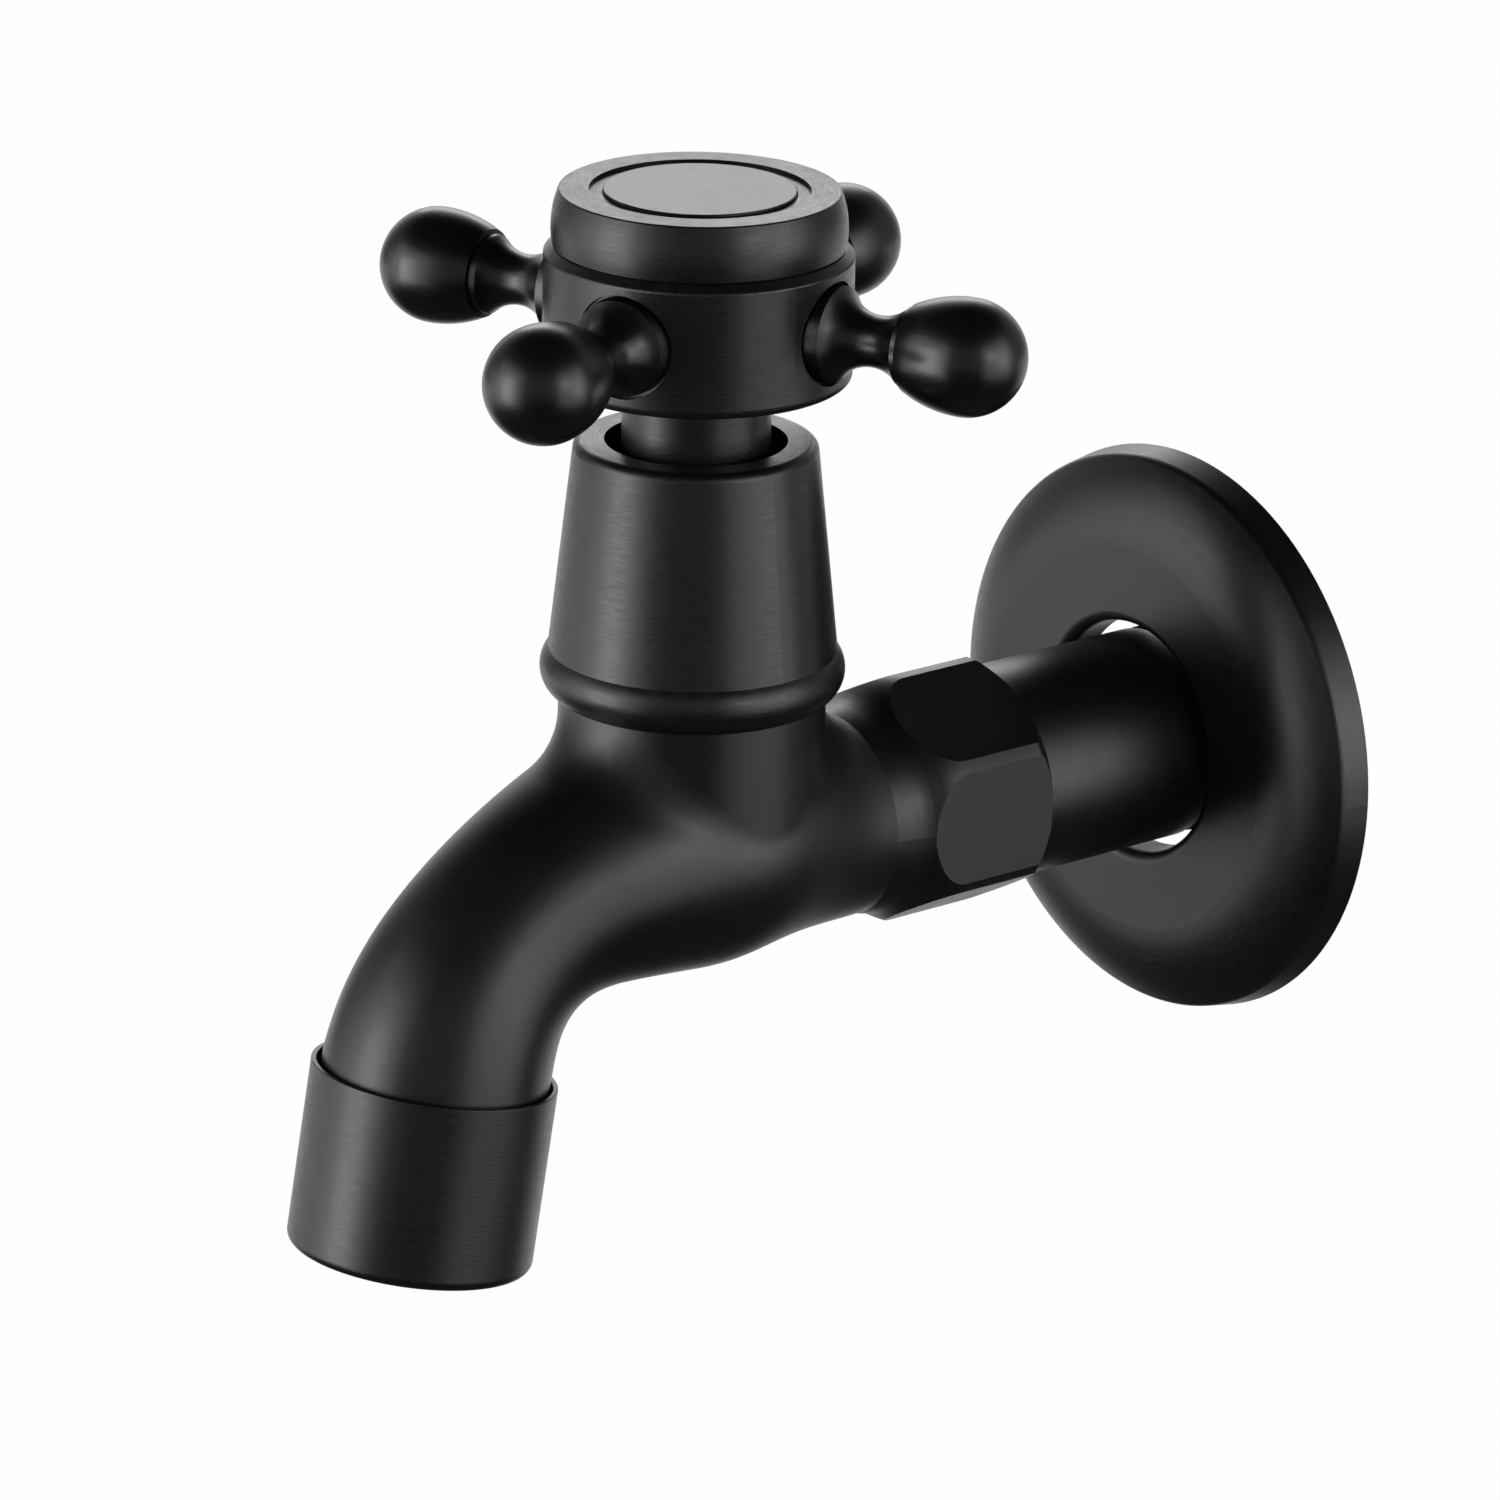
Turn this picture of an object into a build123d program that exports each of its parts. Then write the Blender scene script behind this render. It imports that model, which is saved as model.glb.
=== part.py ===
from build123d import *
import math
import os

# Garden tap for a wall, in millimetres. Z is up. The wall's face is the plane y = 0, the inlet
# shank runs along Y through the origin, and the tap stands out from the wall towards -Y.
# Heights are above the shank's axis. Names that end in OUT are distances from the wall's face.

# Clearances: fixed fits and turning fits, free air, and the film of water between the discs
FIT = 0.05
FREE = 0.3
FILM = 0.02

# Inlet shank, a half-inch pipe
SHANK_R = 10.5
SHANK_WALL = 5.3
SHANK_BEHIND = 12.0
SHANK_SHOWN = 25.2
SHANK_CHAMFER = 1.0
THREAD_STEP = 0.05
THREAD_OUT = 2.0
THREAD_RELIEF = 1.5
THREAD_RELIEF_DEPTH = 1.2
SPIGOT_WALL = 3.2
SPIGOT_LENGTH = 10.8

# Wall flange, a pressed dish that slides on the shank
FLANGE_R = 28.4
FLANGE_DRAFT = 0.5
FLANGE_SKIRT = 3.0
FLANGE_DEPTH = 6.3
FLANGE_FLAT_R = 19.5
FLANGE_WALL = 0.8
FLANGE_ROOM = 1.15
FLANGE_LIP = 4.4
FLANGE_EDGE = 0.3
FLANGE_SHOULDER = 1.1

# Spanner boss at the back of the tap's body, and the waist in front of it
BOSS_END_STEP = 0.65
BOSS_CHAMFER_STEP = 1.2
BOSS_CHAMFER = 1.4
BOSS_FLAT_DEPTH = 1.35
BOSS_LENGTH = 12.1
BOSS_EDGE = 0.3
BOSS_CORNER = 0.8
BOSS_SHOULDER = 6.0
WAIST_R = 9.9
WAIST_FALL = 6.2
WAIST_RUN = 2.9
WAIST_RISE = 0.6
WAIST_BLEND = 6.0

# Valve cartridge, a quarter-turn pair of ceramic discs. Its width sets the mouth and the neck.
DISC_R = 7.35
DISC_THICKNESS = 2.2
DISC_PORT_ANGLE = 76.0
DISC_PORT_IN = 1.8
DISC_PORT_INSET = 0.2
DISC_EAR = 3.0
DISC_EAR_LENGTH = 4.0
SLIP_THICKNESS = 0.5
SEAL_HEIGHT = 1.8
SEAL_WALL = 2.0
SEAL_EDGE = 0.4
CARRIER_WALL = 1.25
CARRIER_LIFT = 0.6
CARRIER_WINDOW = 58.0
CARRIER_WINDOW_SILL = 0.2
CARTRIDGE_HEX_INSET = 0.15
CARTRIDGE_HEX_HEIGHT = 5.0
CARTRIDGE_HEX_CHAMFER = 0.8
CARTRIDGE_THREAD_CHAMFER = 0.4
CARTRIDGE_NECK_STEP = 1.05
CARTRIDGE_HEIGHT = 15.1
CARTRIDGE_TOP_STEP = 1.6
CARTRIDGE_TOP_HEIGHT = 1.0
GASKET_THICKNESS = 0.8

# Body: the chamber and mouth round the cartridge, the neck outside them and the belly below
CHAMBER_ROOM = 1.1
MOUTH_THREAD_STEP = 0.45
MOUTH_THREAD_LENGTH = 5.2
MOUTH_WALL = 1.25
MOUTH_RISE = 2.0
NECK_STEP = 0.9
NECK_HEIGHT = 16.1
NECK_BLEND = 7.5
BELLY_SWELL = 0.25
BELLY_RISE = 1.9
VALVE_REACH = 17.5
SEAT_BORE_R = 4.8
SEAT_WEB = 1.6

# Spout. Its middle line bends through shares of its reach and of its fall.
THROAT_R = 9.75
THROAT_SHARE = 0.7
SPOUT_END_R = 10.9
SPOUT_REACH = 29.7
SPOUT_DROP = 15.6
SPOUT_TILT = 9.5
SPOUT_BEND = ((0.235, 0.034), (0.47, 0.11), (0.74, 0.32), (0.94, 0.73))
SPOUT_STATIONS = 10
BELLY_LEAD = 0.55

# Water's way from the valve chamber down the spout
BORE_START_R = 3.2
BORE_START_RISE = 3.4
BORE_START_FALL = 0.25
BORE_MIDDLE_R = 5.0
BORE_MIDDLE_SHARE = 0.35
BORE_LIFT = 0.5
BORE_ON_PATH = (0.62, 0.8)
BORE_STATIONS = 7

# Outlet nozzle and aerator, measured along the spout's end axis
NOZZLE_GAP = 0.2
NOZZLE_RIM = 0.5
NOZZLE_RIM_EDGE = 0.1
NOZZLE_LENGTH = 17.8
NOZZLE_EDGE = 1.0
NOZZLE_SOCKET = 3.4
NOZZLE_MOUTH_STEP = 1.0
NOZZLE_MOUTH_EDGE = 0.5
NOZZLE_LIP = 1.6
NIPPLE_STEP = 1.3
NIPPLE_LENGTH = 8.0
NIPPLE_WALL = 3.0
WASHER_THICKNESS = 1.5
AERATOR_WALL = 1.0
AERATOR_LEDGE = 0.8
AERATOR_END_GAP = 0.2
AERATOR_EDGE = 0.2
FLOW_PLATE = 1.2
FLOW_HOLES = 10
FLOW_HOLE_R = 0.7
FLOW_HOLE_RING = 0.6
SCREEN_THICKNESS = 0.6
SCREEN_PITCH = 1.7
SCREEN_WIRE = 0.45
SCREEN_RIM = 0.75
SCREEN_SUNK = 0.6

# Spindle
SPINDLE_R = 4.65
SPINDLE_FOOT = 1.8
SPINDLE_SHOWN = 11.0
DOG_WIDTH = 2.4
DOG_LENGTH = 3.2
DOG_DEPTH = 1.1
DOG_SET_IN = 2.4
SPLINE_STEP = 0.65
SPLINE_DEPTH = 0.32
SPLINE_TEETH = 20
RING_GROOVE = 1.05
RING_WIDTH = 1.8
RING_DEPTHS = (13.8, 7.6)
RING_ROUNDING = 0.45
CIRCLIP_THICKNESS = 0.8
CIRCLIP_REACH = 1.45
CIRCLIP_GROOVE = 0.6
CIRCLIP_OPENING = 3.0

# Bell-shaped cover over the cartridge
COVER_HEIGHT = 24.6
COVER_BASE_STEP = 0.4
COVER_FOOT_STEP = 0.6
COVER_EDGE = 0.9
COVER_HOLE_GAP = 1.6
COVER_RING_GAP = 2.4
COVER_RING_SLOPE = 1.5
COVER_RING_HEIGHT = 6.0
COVER_RELIEF = 1.0
COVER_ROOM = 0.1
COVER_ROOF = 1.3
COVER_WALL = 1.9
BEAD_SWELL = 1.35
BEAD_RISE = 2.3
BEAD_HEIGHT = 4.4

# Handle hub
HUB_R = 14.4
HUB_GAP = 6.1
HUB_HEIGHT = 12.7
HUB_RIM = 4.4
HUB_SHOULDER = 0.75
HUB_SHOULDER_EDGE = 0.3
HUB_TOP_EDGE = 0.2
HUB_EDGE = 0.9
HUB_NECK_WALL = 2.97
HUB_NECK_GAP = 1.4
HUB_NECK_FILLET = 0.8
HUB_NECK_EDGE = 0.5
HUB_SPLINE_ROOM = 0.5
HUB_WELL_R = 6.4
HUB_WEB = 4.0

# Cap and the disc in its top
CAP_HEIGHT = 5.25
CAP_BULGE = 0.14
CAP_BULGE_SHARE = 0.33
CAP_TAPER = 0.56
CAP_EDGE = 0.2
CAP_SPIGOT_LENGTH = 3.2
CAP_SPIGOT_WALL = 1.6
CAP_FLOOR = 1.5
CAP_GROOVE_WIDTH = 1.28
CAP_GROOVE_DEPTH = 0.35
PLATE_DISC_R = 8.97
PLATE_DISC_THICKNESS = 1.2
PLATE_DISC_EDGE = 0.15

# Four spokes with ball ends, measured along each spoke from its seat in the hub
SPOKE_COUNT = 4
SPOKE_ANGLE = 22.5
SPOKE_SUNK = 0.9
SPOKE_BASE_R = 4.85
SPOKE_LAND = 1.2
SPOKE_WAIST_AT = 5.2
SPOKE_WAIST_R = 2.42
SPOKE_COLLAR_AT = 9.1
SPOKE_COLLAR_R = 4.2
SPOKE_COLLAR_LAND = 0.4
SPOKE_COLLAR_STEP = 0.2
BALL_AT = 14.6
BALL_R = 5.5
STUD_R = 2.0
STUD_LENGTH = 4.8

# Handle screw and its washer
SCREW_R = 1.95
SCREW_HEAD_R = 3.5
SCREW_HEAD = 2.8
SCREW_LENGTH = 12.0
SCREW_END_EDGE = 0.4
SCREW_HEAD_EDGE = 0.3
SCREW_HOLE_SPARE = 0.25
SCREW_KEY = 3.0
SCREW_KEY_FLOOR = 0.4
LOCK_WASHER = 0.8
LOCK_WASHER_STEP = 0.1
LOCK_WASHER_SPLIT = 0.5
LOCK_WASHER_SLANT = 25.0

# How far cutting and joining shapes run past the faces they meet
PAST = 1.0

ON_FLOOR = (Align.CENTER, Align.CENTER, Align.MIN)
FROM_ROOF = (Align.CENTER, Align.CENTER, Align.MAX)

# Radii that follow, from the discs outwards, and from the shank outwards
CARRIER_BORE_R = DISC_R + FREE
CARRIER_R = CARRIER_BORE_R + CARRIER_WALL
CHAMBER_R = CARRIER_R + CHAMBER_ROOM
MOUTH_THREAD_R = CHAMBER_R + MOUTH_THREAD_STEP
MOUTH_R = MOUTH_THREAD_R + MOUTH_WALL
NECK_R = MOUTH_R + NECK_STEP
BELLY_R = NECK_R + BELLY_SWELL
SEAL_R = CARRIER_BORE_R - FIT
DISC_PORT_OUT = SEAL_R - SEAL_WALL - DISC_PORT_INSET
CARTRIDGE_NECK_R = MOUTH_THREAD_R - CARTRIDGE_NECK_STEP
COVER_BORE_R = CARTRIDGE_NECK_R + COVER_ROOM
COVER_TOP_R = COVER_BORE_R + COVER_WALL
COVER_BASE_R = NECK_R + COVER_BASE_STEP
COVER_FOOT_R = COVER_BASE_R + COVER_FOOT_STEP
BEAD_R = COVER_BASE_R + BEAD_SWELL
SPLINE_R = SPINDLE_R - SPLINE_STEP
CIRCLIP_R = SPINDLE_R + CIRCLIP_REACH
HUB_NECK_R = SPLINE_R + HUB_NECK_WALL
COVER_HOLE_R = HUB_NECK_R + COVER_HOLE_GAP
CAP_FOOT_R = HUB_R - HUB_SHOULDER - FIT
CAP_SPIGOT_R = HUB_R - HUB_RIM
CAP_CAVITY_R = CAP_SPIGOT_R - CAP_SPIGOT_WALL
NOZZLE_R = SPOUT_END_R + NOZZLE_GAP + NOZZLE_RIM
NIPPLE_R = SPOUT_END_R - NIPPLE_STEP
SPOUT_BORE_R = NIPPLE_R - NIPPLE_WALL
NOZZLE_MOUTH_R = NIPPLE_R - NOZZLE_MOUTH_STEP
AERATOR_R = NOZZLE_MOUTH_R - FIT
AERATOR_BORE_R = AERATOR_R - AERATOR_WALL
THREAD_R = SHANK_R - THREAD_STEP
SHANK_BORE_R = SHANK_R - SHANK_WALL
SPIGOT_R = SHANK_BORE_R + SPIGOT_WALL
FLANGE_HOLE_R = SHANK_R + FLANGE_ROOM
BOSS_END_R = SHANK_R + BOSS_END_STEP
BOSS_R = BOSS_END_R + BOSS_CHAMFER_STEP
BOSS_FLATS = 2 * (BOSS_R - BOSS_FLAT_DEPTH)

# Distances out from the wall that follow
SPIGOT_OUT = SHANK_SHOWN + SPIGOT_LENGTH
BOSS_OUT = SHANK_SHOWN + BOSS_LENGTH
WAIST_OUT = BOSS_OUT + WAIST_FALL
VALVE_OUT = WAIST_OUT + VALVE_REACH

# Heights that follow, from the valve's seat up to the cap
SEAT_HEIGHT = SEAT_BORE_R + SEAT_WEB
MOUTH_HEIGHT = NECK_HEIGHT + MOUTH_RISE
THREAD_START = MOUTH_HEIGHT - MOUTH_THREAD_LENGTH
FIXED_DISC_BOTTOM = SEAT_HEIGHT + SEAL_HEIGHT
TURNING_DISC_BOTTOM = FIXED_DISC_BOTTOM + DISC_THICKNESS + FILM
FOOT_BOTTOM = TURNING_DISC_BOTTOM + DISC_THICKNESS
SLIP_BOTTOM = FOOT_BOTTOM + SPINDLE_FOOT
CARRIER_ROOF = SLIP_BOTTOM + SLIP_THICKNESS + FIT
CARTRIDGE_SHOULDER = MOUTH_HEIGHT + GASKET_THICKNESS
CARTRIDGE_TOP = CARTRIDGE_SHOULDER + CARTRIDGE_HEIGHT
CIRCLIP_BOTTOM = CARTRIDGE_TOP + FIT
SPINDLE_TOP = CARTRIDGE_TOP + SPINDLE_SHOWN
COVER_TOP = NECK_HEIGHT + COVER_HEIGHT
COVER_RING_BOTTOM = CARTRIDGE_SHOULDER + CARTRIDGE_HEX_HEIGHT + COVER_RING_GAP
HUB_NECK_BOTTOM = CARTRIDGE_TOP + HUB_NECK_GAP
HUB_BOTTOM = COVER_TOP + HUB_GAP
HUB_TOP = HUB_BOTTOM + HUB_HEIGHT
WEB_BOTTOM = SPINDLE_TOP + HUB_SPLINE_ROOM
WEB_TOP = WEB_BOTTOM + HUB_WEB
SCREW_HOLE_BOTTOM = SPINDLE_TOP + HUB_WEB - SCREW_LENGTH
SPOKE_HEIGHT = HUB_BOTTOM + HUB_HEIGHT / 2
CAP_TOP = HUB_TOP + CAP_HEIGHT
CAP_SPIGOT_BOTTOM = HUB_TOP - CAP_SPIGOT_LENGTH

# Distances down the nozzle that follow
NIPPLE_END = NOZZLE_SOCKET + NIPPLE_LENGTH
AERATOR_TOP = NIPPLE_END + WASHER_THICKNESS
AERATOR_SEAT = NOZZLE_LENGTH - NOZZLE_LIP
SCREEN_SEAT = NOZZLE_LENGTH - SCREEN_SUNK
SCREEN_TOP = SCREEN_SEAT - SCREEN_THICKNESS

# Distances from the valve's axis along a spoke that follow
SPOKE_SEAT = HUB_R - SPOKE_SUNK
SPOKE_WAIST = SPOKE_SEAT + SPOKE_WAIST_AT
SPOKE_COLLAR = SPOKE_SEAT + SPOKE_COLLAR_AT
BALL_CENTRE = SPOKE_SEAT + BALL_AT


def turned(*corners):
    """Solid of revolution about Z from (radius, height, corner radius) corners."""
    points = [corner[:2] for corner in corners]
    radii = [corner[2] if len(corner) > 2 else 0 for corner in corners]
    outline = FilletPolyline(*points, radius=radii, close=True)
    return revolve(Plane.XZ * make_face(outline), Axis.Z)


def washer(inner, outer, bottom, top):
    return turned((inner, bottom), (outer, bottom), (outer, top), (inner, top))


def plug(radius, bottom, top):
    return turned((0, bottom), (radius, bottom), (radius, top), (0, top))


def hexagon(flats, bottom, top):
    """Hexagonal bar along Z with flats facing +X and -X."""
    outline = RegularPolygon(flats / 2, 6, major_radius=False, rotation=30)
    return Pos(0, 0, bottom) * extrude(outline, top - bottom)


def sector(inner, outer, angle, bottom, top):
    """Piece of a ring, centred on +X."""
    half = angle / 2
    tip = (inner, 0)
    low = (outer * math.cos(math.radians(half)), -outer * math.sin(math.radians(half)))
    high = (low[0], -low[1])
    inner_low = (inner * math.cos(math.radians(half)), -inner * math.sin(math.radians(half)))
    inner_high = (inner_low[0], -inner_low[1])
    edges = [
        Line(inner_low, low),
        ThreePointArc(low, (outer, 0), high),
        Line(high, inner_high),
        ThreePointArc(inner_high, tip, inner_low),
    ]
    return Pos(0, 0, bottom) * extrude(make_face(edges), top - bottom)


def around(solid, count, start=0.0):
    """Copies of a solid spaced evenly round Z."""
    return [Rot(0, 0, start + 360 / count * step) * solid for step in range(count)]


def on_shank(shape):
    """Local Z becomes the distance out from the wall."""
    return Rot(90, 0, 0) * shape


def on_valve(shape):
    return Pos(0, -VALVE_OUT, 0) * shape


def outlet_plane():
    """Plane at the middle of the nozzle's top rim, with Z down along the outlet."""
    tilt = math.radians(SPOUT_TILT)
    middle = (0, -(VALVE_OUT + SPOUT_REACH), -SPOUT_DROP)
    return Plane(middle, x_dir=(1, 0, 0), z_dir=(0, -math.sin(tilt), -math.cos(tilt)))


def on_nozzle(shape):
    return outlet_plane().location * shape


def eased(share, keys):
    """Smooth value between the key (share, value) pairs on either side of share."""
    for (start, low), (end, high) in zip(keys, keys[1:]):
        if share <= end:
            step = (share - start) / (end - start)
            return low + (high - low) * step * step * (3 - 2 * step)
    return keys[-1][1]


def inlet_shank():
    """Pipe with a thread to the wall, a relief groove behind it and a spigot in the boss."""
    relief_r = THREAD_R - THREAD_RELIEF_DEPTH
    body = turned(
        (SHANK_BORE_R, -SHANK_BEHIND),
        (THREAD_R - SHANK_CHAMFER, -SHANK_BEHIND),
        (THREAD_R, SHANK_CHAMFER - SHANK_BEHIND),
        (THREAD_R, THREAD_OUT),
        (relief_r, THREAD_OUT),
        (relief_r, THREAD_OUT + THREAD_RELIEF),
        (SHANK_R, THREAD_OUT + THREAD_RELIEF),
        (SHANK_R, SHANK_SHOWN),
        (SPIGOT_R, SHANK_SHOWN),
        (SPIGOT_R, SPIGOT_OUT),
        (SHANK_BORE_R, SPIGOT_OUT),
    )
    return on_shank(body - shank_ring_space())


def shank_ring_space():
    low = SHANK_SHOWN + SPIGOT_LENGTH / 2 - RING_WIDTH / 2
    return washer(SPIGOT_R - RING_GROOVE, SPIGOT_R + FIT, low, low + RING_WIDTH)


def shank_o_ring():
    middle = SHANK_SHOWN + SPIGOT_LENGTH / 2
    return on_shank(o_ring(SPIGOT_R - RING_GROOVE, SPIGOT_R + FIT, middle))


def o_ring(inner, outer, middle):
    """Rubber ring squeezed between two round walls, so a little wider than it is thick."""
    half = RING_WIDTH / 2 - FIT
    bulge = (outer - inner) * RING_ROUNDING
    return turned(
        (inner, middle - half, bulge),
        (outer, middle - half, bulge),
        (outer, middle + half, bulge),
        (inner, middle + half, bulge),
    )


def flange_dish(inset):
    """The flange's outside, or its inside when inset by the sheet's thickness."""
    run = FLANGE_R - FLANGE_DRAFT - FLANGE_FLAT_R
    drop = FLANGE_DEPTH - FLANGE_SKIRT
    sweep = (run * run + drop * drop) / (2 * drop)
    centre = FLANGE_DEPTH - sweep
    radius = sweep - inset
    end = run - inset
    rim_point = (FLANGE_FLAT_R + end, centre + math.sqrt(radius * radius - end * end))
    turn = math.asin(end / radius) / 2
    crown = (FLANGE_FLAT_R + radius * math.sin(turn), centre + radius * math.cos(turn))
    top = FLANGE_DEPTH - inset
    edges = [
        Line((0, 0), (FLANGE_R - inset, 0)),
        Line((FLANGE_R - inset, 0), rim_point),
        ThreePointArc(rim_point, crown, (FLANGE_FLAT_R, top)),
        Line((FLANGE_FLAT_R, top), (0, top)),
        Line((0, top), (0, 0)),
    ]
    dish = revolve(Plane.XZ * make_face(edges), Axis.Z)
    rim = dish.edges().filter_by(lambda edge: abs(edge.center().Z - rim_point[1]) < 0.01)
    return fillet(rim, FLANGE_SHOULDER - inset)


def wall_flange():
    """Pressed dish with its hole's edge turned back towards the wall."""
    bend_r = FLANGE_HOLE_R + 2 * FLANGE_WALL
    lip_r = FLANGE_HOLE_R + FLANGE_WALL
    inside = FLANGE_DEPTH - FLANGE_WALL
    lip = turned(
        (FLANGE_HOLE_R, FLANGE_DEPTH - FLANGE_LIP, FLANGE_EDGE),
        (lip_r, FLANGE_DEPTH - FLANGE_LIP, FLANGE_EDGE),
        (lip_r, inside, FLANGE_EDGE),
        (bend_r, inside),
        (bend_r, FLANGE_DEPTH),
        (FLANGE_HOLE_R, FLANGE_DEPTH, FLANGE_EDGE + FLANGE_WALL),
    )
    sheet = flange_dish(0) - flange_dish(FLANGE_WALL) - plug(bend_r, 0, FLANGE_DEPTH)
    return on_shank(sheet + lip)


def spanner_boss():
    """Round barrel with six flats that run out where its shoulder falls to the waist."""
    barrel = turned(
        (0, SHANK_SHOWN),
        (BOSS_END_R, SHANK_SHOWN, BOSS_EDGE),
        (BOSS_R, SHANK_SHOWN + BOSS_CHAMFER, BOSS_CORNER),
        (BOSS_R, BOSS_OUT, BOSS_SHOULDER),
        (WAIST_R + WAIST_RISE, WAIST_OUT - WAIST_RUN, WAIST_BLEND),
        (WAIST_R, WAIST_OUT),
        (0, WAIST_OUT),
    )
    return on_shank(barrel & hexagon(BOSS_FLATS, SHANK_SHOWN, WAIST_OUT))


def spout_path():
    """Middle line of the body from its waist, over the belly and down the spout."""
    fall = SPOUT_DROP + BELLY_RISE
    tilt = math.radians(SPOUT_TILT)
    down = Vector(0, -math.sin(tilt), -math.cos(tilt))
    end = Vector(0, -(VALVE_OUT + SPOUT_REACH), -SPOUT_DROP) + down * NOZZLE_SOCKET
    points = [Vector(0, -WAIST_OUT, 0)]
    points.append(Vector(0, -(WAIST_OUT + VALVE_OUT) / 2, BELLY_RISE * BELLY_LEAD))
    points.append(Vector(0, -VALVE_OUT, BELLY_RISE))
    for along, sunk in SPOUT_BEND:
        points.append(Vector(0, -(VALVE_OUT + SPOUT_REACH * along), BELLY_RISE - fall * sunk))
    points.append(end)
    return Spline(points, tangents=[(0, -1, 0), down])


def spout_arm():
    """Round sections lofted along the middle line: waist, belly, throat and end."""
    path = spout_path()
    belly = (VALVE_OUT - WAIST_OUT) / path.length
    keys = [(0, WAIST_R), (belly, BELLY_R), (THROAT_SHARE, THROAT_R), (1, SPOUT_END_R)]
    sections = []
    for step in range(SPOUT_STATIONS + 1):
        share = step / SPOUT_STATIONS
        along = path % share
        plane = Plane(path @ share, x_dir=(0, -along.Z, along.Y), z_dir=along)
        sections.append(plane * Circle(eased(share, keys)))
    return loft(sections)


def body_outside():
    arm = spout_arm()
    tall = NECK_HEIGHT + NECK_BLEND
    neck = on_valve(plug(NECK_R, BELLY_RISE, tall))
    joined = arm + neck
    seam = new_edges(arm, neck, combined=joined)
    blended = fillet(seam, NECK_BLEND)
    above = Pos(0, -VALVE_OUT, NECK_HEIGHT) * Box(8 * NECK_R, 6 * NECK_R, 6 * NECK_R, align=ON_FLOOR)
    blended = blended - above
    nipple = on_nozzle(plug(NIPPLE_R, NOZZLE_SOCKET - PAST, NIPPLE_END))
    mouth = on_valve(plug(MOUTH_R, NECK_HEIGHT - PAST, MOUTH_HEIGHT))
    return blended + spanner_boss() + nipple + mouth


def outlet_passage():
    """Water's way from the chamber round the cartridge to the end of the spout."""
    down = outlet_plane().z_dir
    end = outlet_plane().origin + down * (NIPPLE_END + PAST)
    start = Vector(0, -(VALVE_OUT + SEAT_BORE_R), SEAT_HEIGHT + BORE_START_RISE)
    heading = Vector(0, -1, -BORE_START_FALL).normalized()
    path = spout_path()
    upper, lower = BORE_ON_PATH
    points = [start, path @ upper + Vector(0, 0, BORE_LIFT), path @ lower, end]
    way = Spline(points, tangents=[heading, down])
    keys = [(0, BORE_START_R), (BORE_MIDDLE_SHARE, BORE_MIDDLE_R), (1, SPOUT_BORE_R)]
    sections = []
    for step in range(BORE_STATIONS + 1):
        share = step / BORE_STATIONS
        along = way % share
        plane = Plane(way @ share, x_dir=(0, -along.Z, along.Y), z_dir=along)
        sections.append(plane * Circle(eased(share, keys)))
    return loft(sections)


def tap_body():
    socket = plug(SPIGOT_R + FIT, SHANK_SHOWN, SPIGOT_OUT)
    inlet = plug(SEAT_BORE_R, SPIGOT_OUT, VALVE_OUT) + Pos(0, 0, VALVE_OUT) * Sphere(SEAT_BORE_R)
    chamber = turned(
        (0, SEAT_HEIGHT),
        (CHAMBER_R, SEAT_HEIGHT),
        (CHAMBER_R, THREAD_START),
        (MOUTH_THREAD_R, THREAD_START),
        (MOUTH_THREAD_R, MOUTH_HEIGHT),
        (0, MOUTH_HEIGHT),
    )
    seat_bore = plug(SEAT_BORE_R, 0, SEAT_HEIGHT)
    solid = body_outside() - on_shank(socket + inlet) - on_valve(chamber + seat_bore)
    return solid - outlet_passage()


def bonnet_cover():
    ring_top = COVER_RING_BOTTOM + COVER_RING_HEIGHT
    bore_r = MOUTH_R + FIT
    bead = (BEAD_R, NECK_HEIGHT + BEAD_RISE)
    foot = (COVER_FOOT_R, NECK_HEIGHT + BEAD_HEIGHT)
    edges = [
        Line((0, NECK_HEIGHT), (COVER_BASE_R, NECK_HEIGHT)),
        ThreePointArc((COVER_BASE_R, NECK_HEIGHT), bead, foot),
        Line(foot, (COVER_TOP_R, COVER_TOP)),
        Line((COVER_TOP_R, COVER_TOP), (0, COVER_TOP)),
        Line((0, COVER_TOP), (0, NECK_HEIGHT)),
    ]
    bell = revolve(Plane.XZ * make_face(edges), Axis.Z)
    rim = bell.edges().filter_by(lambda edge: abs(edge.center().Z - COVER_TOP) < 0.01)
    bell = fillet(rim, COVER_EDGE)
    roof = COVER_TOP - COVER_ROOF
    hollow = turned(
        (0, NECK_HEIGHT),
        (bore_r, NECK_HEIGHT),
        (bore_r, COVER_RING_BOTTOM - COVER_RING_SLOPE),
        (CARTRIDGE_NECK_R + FIT, COVER_RING_BOTTOM),
        (CARTRIDGE_NECK_R + FIT, ring_top),
        (COVER_BORE_R, ring_top + COVER_RELIEF),
        (COVER_BORE_R, roof),
        (COVER_HOLE_R, roof),
        (COVER_HOLE_R, COVER_TOP),
        (0, COVER_TOP),
    )
    return on_valve(bell - hollow)


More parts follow.
